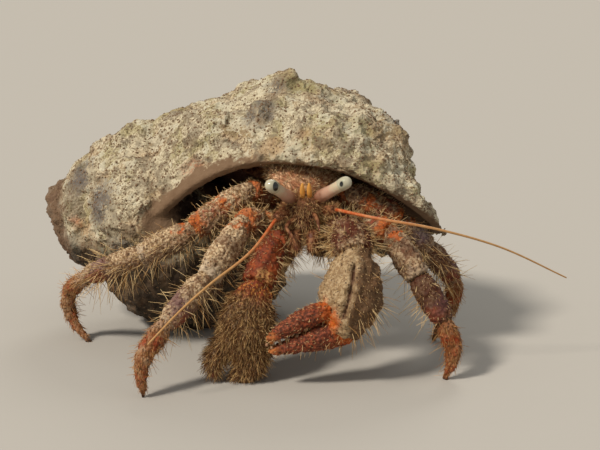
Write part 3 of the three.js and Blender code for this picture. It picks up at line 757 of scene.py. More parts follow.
# %% [markdown]
# The crust of sand covers the outside only. How far a point lies from the lip, and whether it belongs
# to the hollow, is worked out once and kept on the mesh for the relief, the grains and the colours.

# %% Where the crust lies
def tree_of(points):
    """A search tree that finds the nearest of many points."""
    tree = KDTree(len(points))
    for k, point in enumerate(points):
        tree.insert(point, k)
    tree.balance()
    return tree


def nearest_gap(piece, points):
    """How far each of the piece's points is from the nearest of `points`, in millimetres."""
    tree = tree_of(points)
    return np.array([tree.find(co)[2] for co in vertex_places(piece)]) / MM


def wall_under(piece, reach=8.0):
    """How thick the wall is under each point, in millimetres."""
    tree = BVHTree.FromPolygons([v.co.copy() for v in piece.data.vertices],
                                [tuple(f.vertices) for f in piece.data.polygons])
    depths = []
    for place, normal in zip(vertex_places(piece), vertex_normals(piece)):
        inward = -Vector(normal)
        hit = tree.ray_cast(Vector(place) + inward * 0.05 * MM, inward, reach * MM)[3]
        depths.append(reach if hit is None else hit / MM)
    return np.array(depths)


def store(piece, name, values):
    layer = piece.data.attributes.new(name, "FLOAT", "POINT")
    layer.data.foreach_set("value", np.asarray(values, np.float32))


# small stones grown into the crust: place, height, reach
PEBBLES = [((-8.1, 11.6, 50.4), 1.5, 3.4), ((-2.5, 20.0, 56.0), 1.5, 4.2), ((-34.0, 24.0, 47.0), 1.2, 3.0),
           ((-29.0, 24.0, 49.5), 1.3, 3.0), ((-40.0, 18.0, 33.0), 1.0, 4.0), ((13.0, 6.0, 49.0), 1.2, 4.5),
           ((20.0, 10.0, 44.0), 1.2, 5.0), ((-18.0, 14.0, 49.0), 0.9, 4.5), ((4.0, 44.0, 40.0), 1.3, 4.5),
           ((-22.0, 50.0, 30.0), 1.2, 4.0), ((22.0, 40.0, 30.0), 1.2, 4.5), ((-44.0, 36.0, 32.0), 1.0, 3.5)]
PEBBLE_FLAT = 0.35  # share of a pebble's reach that is its flat top
LIP_BAND_X = (-24, -15, -6, 4, 14, 24)  # the smooth rim is broad on the spire's side of the mouth
LIP_BAND = (4.6, 3.8, 2.2, 1.1, 0.9, 2.6)
LIP_FADE = (1.5, 6.0)  # from the lip, where the lumps begin and where they are full
LEAST_CRUST = 0.12  # share of the relief that lip and hollow keep
LEAST_WALL = 0.5
# rings of both sides of the wall, a few degrees apart, back from the lip
hollow_points = []
for step in range(45):
    hollow_points += mouth_ring(0.006 - step * 0.02, inner=True)
outside_points = []
for step in range(140):
    outside_points += mouth_ring(-step * 0.012)
lip_gap = nearest_gap(shell, smooth(mouth_ring(0, inner=True), closed=True))
hollow_gap = nearest_gap(shell, hollow_points)
outside_gap = nearest_gap(shell, outside_points)
inner_share = soft_step(-0.3, 0.5, outside_gap - hollow_gap)
lip_share = lip_gap / np.interp(bench_places(shell)[:, 0], LIP_BAND_X, LIP_BAND)
outer_share = (1 - inner_share) * soft_step(0.75, 1.15, lip_share)
store(shell, "lip_share", lip_share)
store(shell, "inner", inner_share)
group = shell.vertex_groups.new(name="crust")
for k, share in enumerate(outer_share):
    group.add([k], float(max(share, LEAST_CRUST)), "REPLACE")
push_out(shell, crust_height(bench_places(shell)) * (1 - inner_share) * soft_step(*LIP_FADE, lip_gap))
pebbles = np.zeros(len(shell.data.vertices))
for place, rise, reach in PEBBLES:
    gap = np.linalg.norm(bench_places(shell) - np.array(place), axis=1)
    pebbles += rise * (1 - soft_step(PEBBLE_FLAT * reach, reach, gap))
push_out(shell, pebbles * outer_share)

# %% [markdown]
# Three grains of relief make the crust: broad clouds, small clouds and the dents between stones. A
# deep dent would break through a thin wall into the hollow, so the wall is measured first, and what
# sinks too deep is lifted again.

# %% Relief of the crust
thickness = wall_under(shell)
before = vertex_places(shell)
outward = vertex_normals(shell)
relief(shell, "CLOUDS", 5.2, 2.4, group="crust", noise_depth=1)
relief(shell, "CLOUDS", 2.0, 1.5, group="crust", noise_depth=3)
relief(shell, "VORONOI", 2.1, -0.8, middle=0.3, group="crust")
after = vertex_places(shell)
sunk = -((after - before) * outward).sum(axis=1) / MM - np.maximum(thickness - LEAST_WALL, 0)
move_points(shell, after + outward * (np.clip(sunk, 0, None) * outer_share * MM)[:, None])
print("crust kept off the hollow at", int((sunk * outer_share > 0).sum()), "points")
keep_off_floor(shell)
made["shell_body"] = shell

# %% [markdown]
# ## Finishes
# A material is a sum of patterns. The small class below lets the sums be written as Python: it wraps
# one socket, and each operator adds a Math node.

# %% Writing materials as expressions
class Wire:
    """One socket of a material, on which Python's operators work."""

    def __init__(self, finish, socket):
        self.finish = finish
        self.socket = socket

    def math(self, operation, first, second):
        return self.finish.node("ShaderNodeMath", dict(operation=operation), {0: first, 1: second})

    def __add__(self, other):
        return self.math("ADD", self, other)

    def __sub__(self, other):
        return self.math("SUBTRACT", self, other)

    def __rsub__(self, other):
        return self.math("SUBTRACT", other, self)

    def __mul__(self, other):
        return self.math("MULTIPLY", self, other)

    def __truediv__(self, other):
        return self.math("DIVIDE", self, other)

    __radd__ = __add__
    __rmul__ = __mul__

# %% [markdown]
# Patterns read the object's own coordinates, in metres, or the shares stored on the mesh, so that
# bristles and armour carry the same markings. Colours go through Mix nodes, because a Math node would
# turn them grey.

# %% Patterns of one material
class Finish:
    """One material: its nodes are added by the methods and joined in done()."""

    def __init__(self, name):
        self.material = bpy.data.materials.new(name)
        self.material.use_nodes = True
        self.tree = self.material.node_tree
        self.tree.nodes.clear()
        self.place = self.node("ShaderNodeTexCoord", output="Object")

    def node(self, kind, settings=None, inputs=None, output=0):
        node = self.tree.nodes.new(kind)
        for key, value in (settings or {}).items():
            setattr(node, key, value)
        for key, value in (inputs or {}).items():
            if isinstance(value, Wire):
                self.tree.links.new(value.socket, node.inputs[key])
            elif value is not None:
                node.inputs[key].default_value = value
        return Wire(self, node.outputs[output]) if output is not None else None

    def noise(self, grain, detail=3.0, shift=0.0):
        """Cloudy values from 0 to 1, with features of about `grain` millimetres."""
        moved = self.node("ShaderNodeMapping", None, {"Vector": self.place, "Location": (shift,) * 3})
        return self.node("ShaderNodeTexNoise", None, {
            "Vector": moved, "Scale": 1 / (grain * MM), "Detail": detail, "Roughness": 0.55}, "Fac")

    def cells(self, grain):
        """0 at the middle of each cell and more toward its edge; a cell is about `grain` wide."""
        return self.node("ShaderNodeTexVoronoi", None, {
            "Vector": self.place, "Scale": 1 / (grain * MM)}, "Distance")

    def axis(self, name):
        """The place along X, Y or Z in millimetres."""
        return self.node("ShaderNodeSeparateXYZ", None, {"Vector": self.place}, name) / MM

    def stored(self, name):
        """A share that is kept on the mesh's points."""
        return self.node("ShaderNodeAttribute", dict(attribute_name=name), None, "Fac")

    def step(self, value, low, high):
        """0 below `low`, 1 above `high`, and a soft rise between them."""
        return self.node("ShaderNodeMapRange", dict(interpolation_type="SMOOTHSTEP"), {
            "Value": value, "From Min": low, "From Max": high})

    def band(self, value, low, high, soft):
        """1 between `low` and `high`, with soft edges."""
        return self.step(value, low - soft, low + soft) * (1 - self.step(value, high - soft, high + soft))

    def near(self, place, reach, rough):
        """1 at a place, and 0 farther off than `reach`, with an edge that `rough` breaks up."""
        gap = self.node("ShaderNodeVectorMath", dict(operation="DISTANCE"), {
            0: self.place, 1: tuple(place)}, "Value")
        gap = gap + (rough - 0.5) * (reach * MM)
        return 1 - self.step(gap, 0.45 * reach * MM, reach * MM)

    def mix(self, share, first, second):
        """Two colours mixed: a share of 0 gives the first and 1 the second."""
        mixed = self.tree.nodes.new("ShaderNodeMix")
        mixed.data_type = "RGBA"
        for key, value in (("Factor", share), ("A", first), ("B", second)):
            socket = [i for i in mixed.inputs
                      if i.name == key and (i.type == "RGBA" or key == "Factor")][0]
            if isinstance(value, Wire):
                self.tree.links.new(value.socket, socket)
            else:
                socket.default_value = value if key == "Factor" else (*value, 1.0)
        return Wire(self, [o for o in mixed.outputs if o.type == "RGBA"][0])

    def done(self, colour, rough=0.7, bump=None, depth=0.1, coat=0.0, soft=0.0, gloss=0.2):
        inputs = {"Base Color": colour if isinstance(colour, Wire) else (*colour, 1.0),
                  "Roughness": rough, "Coat Weight": coat, "Subsurface Weight": soft,
                  "Specular IOR Level": gloss}
        if soft:
            inputs["Subsurface Radius"] = (1.2 * MM, 0.5 * MM, 0.3 * MM)
            inputs["Subsurface Scale"] = 1.0
        if bump is not None:
            inputs["Normal"] = self.node("ShaderNodeBump", None, {
                "Strength": 1.0, "Distance": depth * MM, "Height": bump}, "Normal")
        surface = self.node("ShaderNodeBsdfPrincipled", None, inputs)
        self.node("ShaderNodeOutputMaterial", None, {"Surface": surface}, None)
        return self.material

# %% [markdown]
# The armour is sand-coloured and pitted, with patches of orange and red that sit at the same place on
# every leg: on the top of each length and round its hinges. A colour function for each length reads
# how far along the length a point is, and how high it sits on it.

# %% Colours of the armour
SAND = (0.27, 0.165, 0.085)
PALE_SAND = (0.62, 0.47, 0.29)
DARK_SAND = (0.115, 0.050, 0.024)
PIT = (0.050, 0.022, 0.012)
ORANGE = (0.46, 0.088, 0.009)
YELLOW_ORANGE = (0.58, 0.22, 0.035)
RED = (0.30, 0.038, 0.010)
DEEP_RED = (0.088, 0.018, 0.007)
PURPLE = (0.14, 0.066, 0.075)
BONE = (0.62, 0.52, 0.38)
HORN = (0.05, 0.024, 0.013)
GOLD = (0.42, 0.22, 0.070)
PALE_GOLD = (0.88, 0.64, 0.32)
BROWN_HAIR = (0.16, 0.062, 0.020)


DARK_RED_SHADE = (0.055, 0.020, 0.009)
LILAC = (0.105, 0.085, 0.150)
TOE_RED = (0.25, 0.080, 0.018)
PEACH = (0.62, 0.33, 0.11)
OUTER_BROWN = (0.105, 0.050, 0.022)
GROOVE_DARK = (0.070, 0.022, 0.010)
FUR_DARK = (0.13, 0.055, 0.020)
ROSE = (0.42, 0.12, 0.075)
FINGER_END = (0.50, 0.17, 0.04)


def lay_patterns(f):
    """Adds the patterns that every kind of length shares, and keeps them on the finish."""
    f.run = f.stored("run")
    f.warm = f.stored("warm")
    f.grit = f.noise(0.55, 3.0)
    f.cloud = f.noise(2.6, 3.0, shift=0.3)
    f.wavy = f.run + (f.noise(2.0, 3.0) - 0.5) * 0.5
    f.patch = f.step(f.noise(1.9, 2.0, shift=0.6), 0.44, 0.56)
    f.top = f.step(f.stored("rise") + (f.cloud - 0.5) * 1.4, -0.55, 0.35)
    f.orange = f.mix(f.step(f.grit, 0.50, 0.66) * 0.5, ORANGE, YELLOW_ORANGE)

# %% [markdown]
# The legs are banded: orange and red on the short lengths next to the body, purple and red before the
# toe, and a dark horny point. A band is a range of the share along the length, with a wavy edge.

# %% Markings of the legs
def leg_markings(f, part, colour):
    if part in ("coxa", "merus"):
        gritty = 0.4 + f.step(f.grit, 0.36, 0.56) * 0.5
        colour = f.mix(f.band(f.wavy, 0.26, 0.50, 0.06) * f.patch * gritty, colour, f.orange)
        colour = f.mix(f.band(f.wavy, 0.84, 1.14, 0.07) * gritty, colour, f.orange)
        colour = f.mix(f.band(f.wavy, 0.55, 0.80, 0.08) * f.patch * 0.6, colour, RED)
    if part == "carpus":
        colour = f.mix(f.band(f.wavy, 0.02, 0.22, 0.05) * f.patch * f.top * 0.9, colour, f.orange)
        colour = f.mix(f.near(at(25.3, 5.4, 25.6), 3.0, f.cloud) * 0.5, colour, LILAC)
        colour = f.mix(f.band(f.wavy, 0.86, 1.1, 0.06) * (1 - f.warm) * 0.5, colour, BONE)
    if part == "propodus":
        # Painted shade: the propodus with the most shade turns near black over its dark red
        colour = f.mix(f.step(f.warm, 0.84, 0.95) * 0.6, colour, DARK_RED_SHADE)
        colour = f.mix(f.band(f.wavy, 0.52, 0.84, 0.09) * (0.75 - f.warm * 0.45), colour, PURPLE)
        colour = f.mix(f.band(f.wavy, 0.66, 0.94, 0.07) * (1 - f.top) * 0.9, colour, RED)
        colour = f.mix(f.band(f.wavy, 0.94, 1.1, 0.05) * (1 - f.warm) * 0.4, colour, BONE)
    if part == "dactyl":
        pale = 1 - f.warm
        colour = f.mix(0.65, colour, TOE_RED)
        colour = f.mix(f.band(f.wavy, 0.22, 0.44, 0.08) * f.patch * 0.7, colour, RED)
        colour = f.mix(f.band(f.wavy, 0.62, 0.80, 0.08) * f.patch * 0.5, colour, RED)
        colour = f.mix(f.band(f.wavy, 0.42, 0.58, 0.08) * pale * f.patch * 0.4, colour, PALE_SAND)
        colour = f.mix(f.band(f.wavy, -0.2, 0.12, 0.05) * pale * 0.35, colour, BONE)
        return f.mix(f.step(f.run, 0.88, 0.97), colour, HORN)
    return f.mix((1 - f.top) * 0.6, colour, DARK_SAND)

# %% [markdown]
# The claws differ more. The large palm is sand-coloured with a brown outer face and an orange hinge,
# its fingers are dark red, the inner side of the small claw's arm is smooth and red, and its palm is
# brown under thick fur.

# %% Markings of the claws
def claw_markings(f, part, colour):
    if part == "inner_arm":
        smooth_red = f.mix(f.step(f.cloud, 0.42, 0.60), (0.16, 0.020, 0.007), (0.34, 0.075, 0.020))
        colour = f.mix(0.85, colour, smooth_red)
        spot = f.near(at(-7.0, -13.0, 20.8), 2.6, f.cloud) * f.step(f.grit, 0.38, 0.56)
        colour = f.mix(spot * 0.7, colour, PEACH)
    if part == "arm":
        colour = f.mix(f.step(f.cloud, 0.40, 0.55) * 0.5, colour, DEEP_RED)
    if part == "palm":
        colour = f.mix(0.5, colour, f.mix(f.cloud, (0.22, 0.14, 0.066), (0.38, 0.265, 0.13)))
        outer = f.step(f.stored("away") + (f.cloud - 0.5) * 1.1, 0.3, 0.9)
        colour = f.mix(outer * 0.85, colour, OUTER_BROWN)
        colour = f.mix(f.stored("groove") * 0.9, colour, GROOVE_DARK)
        colour = f.mix(f.near(at(3.3, -21.2, 14.0), 5.6, f.cloud), colour, f.orange)
    if part == "hairy_palm":
        colour = f.mix(0.6, colour, FUR_DARK)
        root = (1 - f.step(f.run + (f.cloud - 0.5) * 0.5, 0.12, 0.42)) * f.stored("upper")
        fresh = f.mix(f.step(f.grit, 0.5, 0.6), (0.22, 0.035, 0.012), YELLOW_ORANGE)
        colour = f.mix(root * 0.85, colour, fresh)
        blush = f.step(f.run + (f.cloud - 0.5) * 0.4, 0.72, 0.95) * f.stored("blush")
        colour = f.mix(blush * 0.8, colour, ROSE)
    if part == "finger":
        rough_red = f.mix(f.step(f.grit, 0.42, 0.6), (0.085, 0.014, 0.006), (0.25, 0.040, 0.010))
        end = f.step(f.run + (f.cloud - 0.5) * 0.4, 0.80, 0.98)
        root = 1 - f.step(f.run + (f.cloud - 0.5) * 0.5, 0.05, 0.28)
        colour = f.mix(0.92, colour, rough_red)
        colour = f.mix(end * 0.8, colour, FINGER_END)
        colour = f.mix(root * 0.8, colour, f.orange)
    return colour

# %% [markdown]
# Armour and bristles share one colour function. The armour adds pits and a fine bump, and a bristle
# keeps the armour's colour, browner, at its root and turns gold toward its tip.

# %% Finishes of armour and bristles
def armour_colour(f, part):
    lay_patterns(f)
    colour = f.mix(f.step(f.grit, 0.42, 0.58), SAND, PALE_SAND)
    colour = f.mix(f.step(f.cloud, 0.48, 0.62) * 0.6, colour, DARK_SAND)
    # Deep red by each length's share of red and shade: partly its own colour, partly painted shade
    colour = f.mix(f.warm * (0.45 + f.step(f.cloud, 0.36, 0.58) * 0.55), colour, DEEP_RED)
    markings = leg_markings if part in LEG_PARTS else claw_markings
    colour = markings(f, part, colour)
    for grain, low, high, share in ((0.95, 0.15, 0.30, 0.8), (0.66, 0.14, 0.28, 0.6)):
        colour = f.mix((1 - f.step(f.cells(grain), low, high)) * share, colour, PIT)
    return colour


def armour_finish(part):
    f = Finish("armour_" + part)
    height = f.noise(0.4, 3.0) * 0.6 + f.cells(0.55) * 0.4
    return f.done(armour_colour(f, part), rough=0.65, bump=height, depth=0.25)


def bristle_finish(part):
    f = Finish("bristle_" + part)
    root = f.mix(0.75, armour_colour(f, part), BROWN_HAIR)
    tip = f.mix(f.step(f.stored("tone"), 0.15, 0.7), GOLD, PALE_GOLD)
    if part == "hairy_palm":
        tip = f.mix(f.step(f.stored("tone"), 0.3, 1.0), (0.17, 0.070, 0.020), (0.74, 0.48, 0.20))
    if part == "dactyl":
        tip = f.mix(f.stored("tone"), (0.30, 0.10, 0.026), (0.66, 0.38, 0.14))
    colour = f.mix(f.step(f.stored("tip"), 0.1, 0.7), root, tip)
    return f.done(colour, rough=0.4, gloss=0.3)

# %% [markdown]
# `mark` stores on each point of a piece how far along its line it lies, how high it sits over the
# line and how far to the side, and how far the whole length is darkened to deep red, by its own red and
# by painted shade. Texture coordinates could carry the first of these too, but stored shares can be
# handed on to every bristle.

# %% Shares along and up each length
def path_of(line):
    """The line's points, and which way it points at each of them, as arrays."""
    path = np.array([tuple(point) for point in line.points])
    ahead = np.gradient(path, axis=0)
    return path, ahead / np.linalg.norm(ahead, axis=1)[:, None]


def mark(piece, line, up, half_high, warm=0.0):
    places = vertex_places(piece)
    path, ahead = path_of(line)
    gaps = ((places[:, None, :] - path[None, :, :]) ** 2).sum(2)
    nearest = gaps.argmin(1)
    run = np.array(line.run)[nearest] / line.length
    aside = np.cross(ahead[nearest], np.array(up))
    rise = (places - path[nearest]) @ np.array(up) / (half_high * MM)
    side = ((places - path[nearest]) * aside).sum(1) / (half_high * MM)
    store(piece, "run", run)
    store(piece, "rise", np.clip(rise, -1.5, 1.5))
    store(piece, "side", np.clip(side, -1.5, 1.5))
    store(piece, "warm", np.full(len(places), warm))


finishes = {}


def finish_for(kind, maker):
    """The finish of one kind of piece, made once and shared."""
    key = (kind, maker.__name__)
    if key not in finishes:
        finishes[key] = maker(kind)
    return finishes[key]


def dress(piece, finish):
    piece.data.materials.clear()
    piece.data.materials.append(finish)


def sits_on(piece, nodes):
    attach(piece, "root")
    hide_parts(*nodes)

# %% [markdown]
# The legs on the crab's left stand in deeper red than those on its right, partly their own colour and
# partly painted shade, so each length has its own share of red and shade. On the small claw the palm
# is bare and bright at its root (`upper`), and the movable finger has a rosy end (`blush`). One finish
# for each kind of length reads all of these, so twenty lengths need only a few materials.

# %% Legs and claws in their colours
# how far each length is darkened to deep red, from 0 to 1: partly its own red, partly painted shade
RED_AND_SHADE = {"leg2_right": (0.1, 0, 0, 0.15, 0.3), "leg3_right": (0.2, 0.1, 0.05, 0.15, 0.15),
          "leg2_left": (0.5, 0.5, 0.5, 0.95, 0.9), "leg3_left": (0.6, 0.55, 0.45, 0.7, 0.7)}
for leg, plan in LEGS.items():
    for part, warm in zip(LEG_PARTS, RED_AND_SHADE[leg]):
        name = f"{leg}_{part}"
        piece = made[name + "_armour"]
        up = plan["toe_up"] if part == "dactyl" else plan["up"]
        mark(piece, lines[name], up, max(LEG_HALF_SIZES[part]), warm)
        dress(piece, finish_for(part, armour_finish))
        sits_on(piece, [name])

CLAW_NODES = {"merus": "merus", "carpus": "carpus", "palm": "palm", "fixed_finger": "palm",
              "movable_finger": "finger"}
CLAW_KINDS = {
    "claw_left": {"merus": "arm", "carpus": "arm", "palm": "palm", "fixed_finger": "finger",
                  "movable_finger": "finger"},
    "claw_right": {"merus": "inner_arm", "carpus": "inner_arm", "palm": "hairy_palm",
                   "fixed_finger": "hairy_palm", "movable_finger": "hairy_palm"}}
for name, plan in CLAWS.items():
    slot = "claw_sand" if name == "claw_left" else "armour_orange"
    for part, node in CLAW_NODES.items():
        piece = made[f"{name}_{part}_armour"]
        mark(piece, lines[f"{name}_{part}"], ARM_UP, 4.0, 0.95 if part in ("merus", "carpus") else 0.0)
        for share, bearer in (("blush", "movable_finger"), ("upper", "palm")):
            store(piece, share, np.full(len(piece.data.vertices), float(part == bearer)))
        dress(piece, finish_for(CLAW_KINDS[name][part], armour_finish))
        sits_on(piece, [f"{name}_{node}"])
print("finishes so far:", len(finishes))

# %% [markdown]
# A dark groove runs down the front of the large palm, and the face outside it is brown. Both are
# stored on the palm: the groove is pressed in, and the colours read it.

# %% Groove of the large palm
GROOVE = Line([at(10.7, -18.0, 24.6), at(9.9, -19.7, 20.2), at(8.5, -21.3, 15.0)])
GROOVE_HALF = 0.5
GROOVE_DEPTH = 0.7
BANK_HEIGHT = 0.45  # the low banks on both sides of the groove
BANK_GAP = 0.9  # from the groove's middle to the crest of a bank
palm = made["claw_left_palm_armour"]
spots = bench_places(palm)
groove_path = np.array([tuple(point / MM - SHIFT) for point in GROOVE.points])
flat_gap = np.linalg.norm(spots[:, None, ::2] - groove_path[None, :, ::2], axis=2).min(1)
front = soft_step(0.05, 0.35, -vertex_normals(palm)[:, 1])
groove = (1 - soft_step(0.4 * GROOVE_HALF, GROOVE_HALF, flat_gap)) * front
order = np.argsort(groove_path[:, 2])
middle_x = np.interp(spots[:, 2], groove_path[order, 2], groove_path[order, 0])
away = soft_step(-0.6, 2.4, spots[:, 0] - middle_x)
store(palm, "groove", groove)
store(palm, "away", away)
bank = BANK_HEIGHT * (1 - soft_step(0.5, 1.5, np.abs(flat_gap - BANK_GAP))) * front
push_out(palm, bank - GROOVE_DEPTH * groove)
print("points in the groove:", int((groove > 0.5).sum()))

# %% [markdown]
# ## Bristles
# Crab armour is hairy: short bristles lean toward the toe all over it, and long pale whiskers stand
# off its edges. Particle hair would be quicker to grow, but the model has to be solid all through. One
# bristle is modelled as a thin closed spike, and its points are copied onto thousands of roots, each
# with its own turn, bend, length and tone.

# %% One spike
chance = np.random.default_rng(7)


def shape_of(piece):
    """The piece's points and faces, read before the piece itself is removed."""
    shape = vertex_places(piece), np.array([tuple(face.vertices) for face in piece.data.polygons])
    bpy.data.objects.remove(piece)
    return shape


def spike(cuts, blunt):
    """A closed three-sided spike along Z, one unit tall; cuts are the heights where it can bend."""
    bpy.ops.object.select_all(action="DESELECT")
    bpy.ops.mesh.primitive_cone_add(vertices=3, radius1=1, radius2=blunt, depth=1, location=(0, 0, 0.5))
    piece = bpy.context.object
    to_origin(piece)
    bpy.ops.object.mode_set(mode="EDIT")
    for cut in cuts:
        bpy.ops.mesh.select_all(action="SELECT")
        bpy.ops.mesh.bisect(plane_co=(0, 0, cut), plane_no=(0, 0, 1))
    bpy.ops.mesh.select_all(action="SELECT")
    bpy.ops.mesh.quads_convert_to_tris()
    face_outwards()
    return shape_of(piece)


BRISTLE = spike([], 0.4)
WHISKER = spike([0.45], 0.4)
print("faces of a bristle and a whisker:", len(BRISTLE[1]), len(WHISKER[1]))

# %% [markdown]
# Roots are spread by area over a piece's triangles. Each root takes the wall's normal, the shares that
# colour the armour, and its place on the piece's unwrap, so that a bristle matches the armour it
# grows from. The unwraps of several pieces lie side by side on one map.

# %% Roots
SHARES = ("run", "rise", "side", "groove", "away", "warm", "blush", "upper")
TILES = 3  # pieces on each side of the shared map


def share_values(piece, name):
    values = np.zeros(len(piece.data.vertices), np.float32)
    if name in piece.data.attributes:
        piece.data.attributes[name].data.foreach_get("value", values)
    return values


def roots_on(piece, per_mm2):
    mesh = piece.data
    mesh.calc_loop_triangles()
    count = len(mesh.loop_triangles)
    corners = np.empty(count * 3, np.int32)
    loops = np.empty(count * 3, np.int32)
    mesh.loop_triangles.foreach_get("vertices", corners)
    mesh.loop_triangles.foreach_get("loops", loops)
    corners, loops = corners.reshape(-1, 3), loops.reshape(-1, 3)
    places = vertex_places(piece)
    a, b, c = (places[corners[:, k]] for k in range(3))
    areas = np.linalg.norm(np.cross(b - a, c - a), axis=1) / 2
    total = int(areas.sum() / MM ** 2 * per_mm2)
    pick = chance.choice(count, total, p=areas / areas.sum())
    s, t = chance.random((2, total))
    over = s + t > 1
    s[over], t[over] = 1 - s[over], 1 - t[over]
    weights = np.stack([1 - s - t, s, t], 1)
    found = {name: (share_values(piece, name)[corners[pick]] * weights).sum(1) for name in SHARES}
    found["place"] = (places[corners[pick]] * weights[:, :, None]).sum(1)
    found["normal"] = (vertex_normals(piece)[corners[pick]] * weights[:, :, None]).sum(1)
    unwrap = np.zeros(len(mesh.loops) * 2)
    if "OFBake" in mesh.uv_layers:
        mesh.uv_layers["OFBake"].data.foreach_get("uv", unwrap)
    found["map"] = (unwrap.reshape(-1, 2)[loops[pick]] * weights[:, :, None]).sum(1)
    return found


def some(roots, keep):
    return {name: values[keep] for name, values in roots.items()}


def heading(line, runs):
    """Which way a line points at each of many shares of its length."""
    path, ahead = path_of(line)
    return ahead[np.clip(np.searchsorted(line.run, runs * line.length), 0, len(path) - 1)]

# %% [markdown]
# A coat gathers copies of a shape. Each copy stands on its root, sinks a little into the wall, and
# bows toward its bend. The coat keeps the shares, its place from root to tip and a random tone.

# %% Coats
MAP_PATCH = 0.0015  # half of the patch that each bristle takes on the map
SINK = 0.12  # how deep a root stands in the wall, in millimetres


def unit(vectors):
    return vectors / np.maximum(np.linalg.norm(vectors, axis=1), 1e-9)[:, None]


class Coat:
    """Copies of closed shapes, gathered in batches and made one piece in done()."""

    def __init__(self, name):
        self.name = name
        self.batches = []
        self.finishes = []
        self.start = 0

    def add(self, roots, shape, toward, length, thick, bend, finish, tile, pale=0.0):
        corners, faces = shape
        count, many = len(roots["place"]), len(corners)
        toward = unit(toward)
        side = unit(np.cross(toward, unit(chance.normal(size=(count, 3)))))
        top = np.cross(toward, side)
        t = corners[None, :, 2:3]
        tall = length[:, None, None] * MM
        spots = roots["place"][:, None, :] - (toward * SINK * MM)[:, None, :]
        around = side[:, None, :] * corners[None, :, 0:1] + top[:, None, :] * corners[None, :, 1:2]
        spots = spots + around * (thick[:, None, None] * MM)
        spots = spots + toward[:, None, :] * t * tall + bend[:, None, :] * t * t * tall
        keep = spots[:, :, 2].min(1) > FLOOR_CLEARANCE
        spots, count = spots[keep], int(keep.sum())
        if finish not in self.finishes:
            self.finishes.append(finish)
        tile_place = np.array([tile % TILES, tile // TILES])
        patch = (roots["map"][keep] + tile_place) / TILES
        spread = np.stack([corners[:, 0], corners[:, 2] * 2 - 1], 1) * MAP_PATCH
        batch = {
            "spots": spots.reshape(-1, 3),
            "faces": (faces[None] + (np.arange(count) * many)[:, None, None] + self.start).reshape(-1, 3),
            "map": (patch[:, None, :] + spread[None]).reshape(-1, 2),
            "tip": np.tile(pale + (1 - pale) * corners[:, 2], count),
            "tone": np.repeat(chance.random(count), many),
            "finish": np.full(count * len(faces), self.finishes.index(finish)),
        }
        for name in SHARES:
            batch[name] = np.repeat(roots[name][keep], many)
        self.start += count * many
        self.batches.append(batch)

    def done(self, nodes, slot):
        whole = {key: np.concatenate([batch[key] for batch in self.batches]) for key in self.batches[0]}
        mesh = bpy.data.meshes.new(self.name)
        mesh.from_pydata(whole["spots"], [], whole["faces"])
        for name in (*SHARES, "tip", "tone"):
            layer = mesh.attributes.new(name, "FLOAT", "POINT")
            layer.data.foreach_set("value", whole[name].astype(np.float32))
        layer = mesh.uv_layers.new(name="OFBake")
        layer.data.foreach_set("uv", whole["map"][whole["faces"].ravel()].ravel())
        for finish in self.finishes:
            mesh.materials.append(finish)
        mesh.polygons.foreach_set("material_index", whole["finish"].astype(np.int32))
        piece = bpy.data.objects.new(self.name, mesh)
        bpy.context.scene.collection.objects.link(piece)
        only(piece)
        bpy.ops.object.shade_smooth()
        sits_on(piece, nodes)
        print(self.name, len(mesh.polygons), "triangles")

# %% [markdown]
# How hairy a length is depends on its kind. Whiskers grow at the edges and the underside, where they
# feel the ground, and are long on the lengths before the toe.

# %% Hair of each kind of length
# (bristles on a square millimetre, their length, whiskers on a square millimetre, their length)
HAIR = {
    "coxa": (1.8, 1.0, 0.6, 2.6), "merus": (1.4, 0.8, 0.9, 3.6), "carpus": (0.8, 0.7, 0.8, 4.6),
    "propodus": (1.1, 0.8, 1.0, 6.0), "dactyl": (2.8, 1.0, 0.9, 2.8), "arm": (2.8, 1.1, 1.6, 4.0),
    "inner_arm": (2.6, 1.1, 2.0, 4.4), "palm": (1.2, 0.6, 0.8, 4.8), "hairy_palm": (12, 1.7, 2.8, 3.2),
    "finger": (1.3, 0.6, 0.4, 2.2),
}
BRISTLE_THICK = 0.055  # radius at the root
WHISKER_THICK = 0.065
BRISTLE_BEND = 0.2  # how far the tip bows toward the toe, as a share of the length
WHISKER_BEND = 0.08
WHISKER_PALE = 0.35  # a whisker starts this far along from the root's colour to the tip's
LEAN = {"dactyl": (1.6, 0.3), "hairy_palm": (1.0, 0.45)}  # toward the toe, and how wildly


def bare(kind, roots):
    """How likely each root is left bare: nothing grows in the palm's groove."""
    share = np.where(roots["groove"] > 0.3, 1.0, 0.0)
    if kind == "inner_arm":
        share = soft_step(0.45, 0.8, -roots["normal"][:, 1])
    if kind == "hairy_palm":
        share = np.maximum(share, roots["upper"] * 0.85 * (1 - soft_step(0.05, 0.38, roots["run"])))
    if kind == "palm":
        share = np.maximum(share, 0.6 * (1 - roots["away"]) * soft_step(0.2, 0.6, -roots["normal"][:, 1]))
    return share


def short_bristles(coat, piece, line, kind, tile):
    per_mm2, longest = HAIR[kind][:2]
    flat, wild = LEAN.get(kind, (0.6, 0.35))
    roots = roots_on(piece, per_mm2)
    roots = some(roots, chance.random(len(roots["run"])) > bare(kind, roots))
    count = len(roots["place"])
    ahead = heading(line, roots["run"])
    toward = roots["normal"] + ahead * flat + chance.normal(size=(count, 3)) * wild
    length = longest * chance.uniform(0.5, 1.3, count)
    coat.add(roots, BRISTLE, toward, length, BRISTLE_THICK * chance.uniform(0.8, 1.3, count),
             ahead * BRISTLE_BEND, finish_for(kind, bristle_finish), tile)


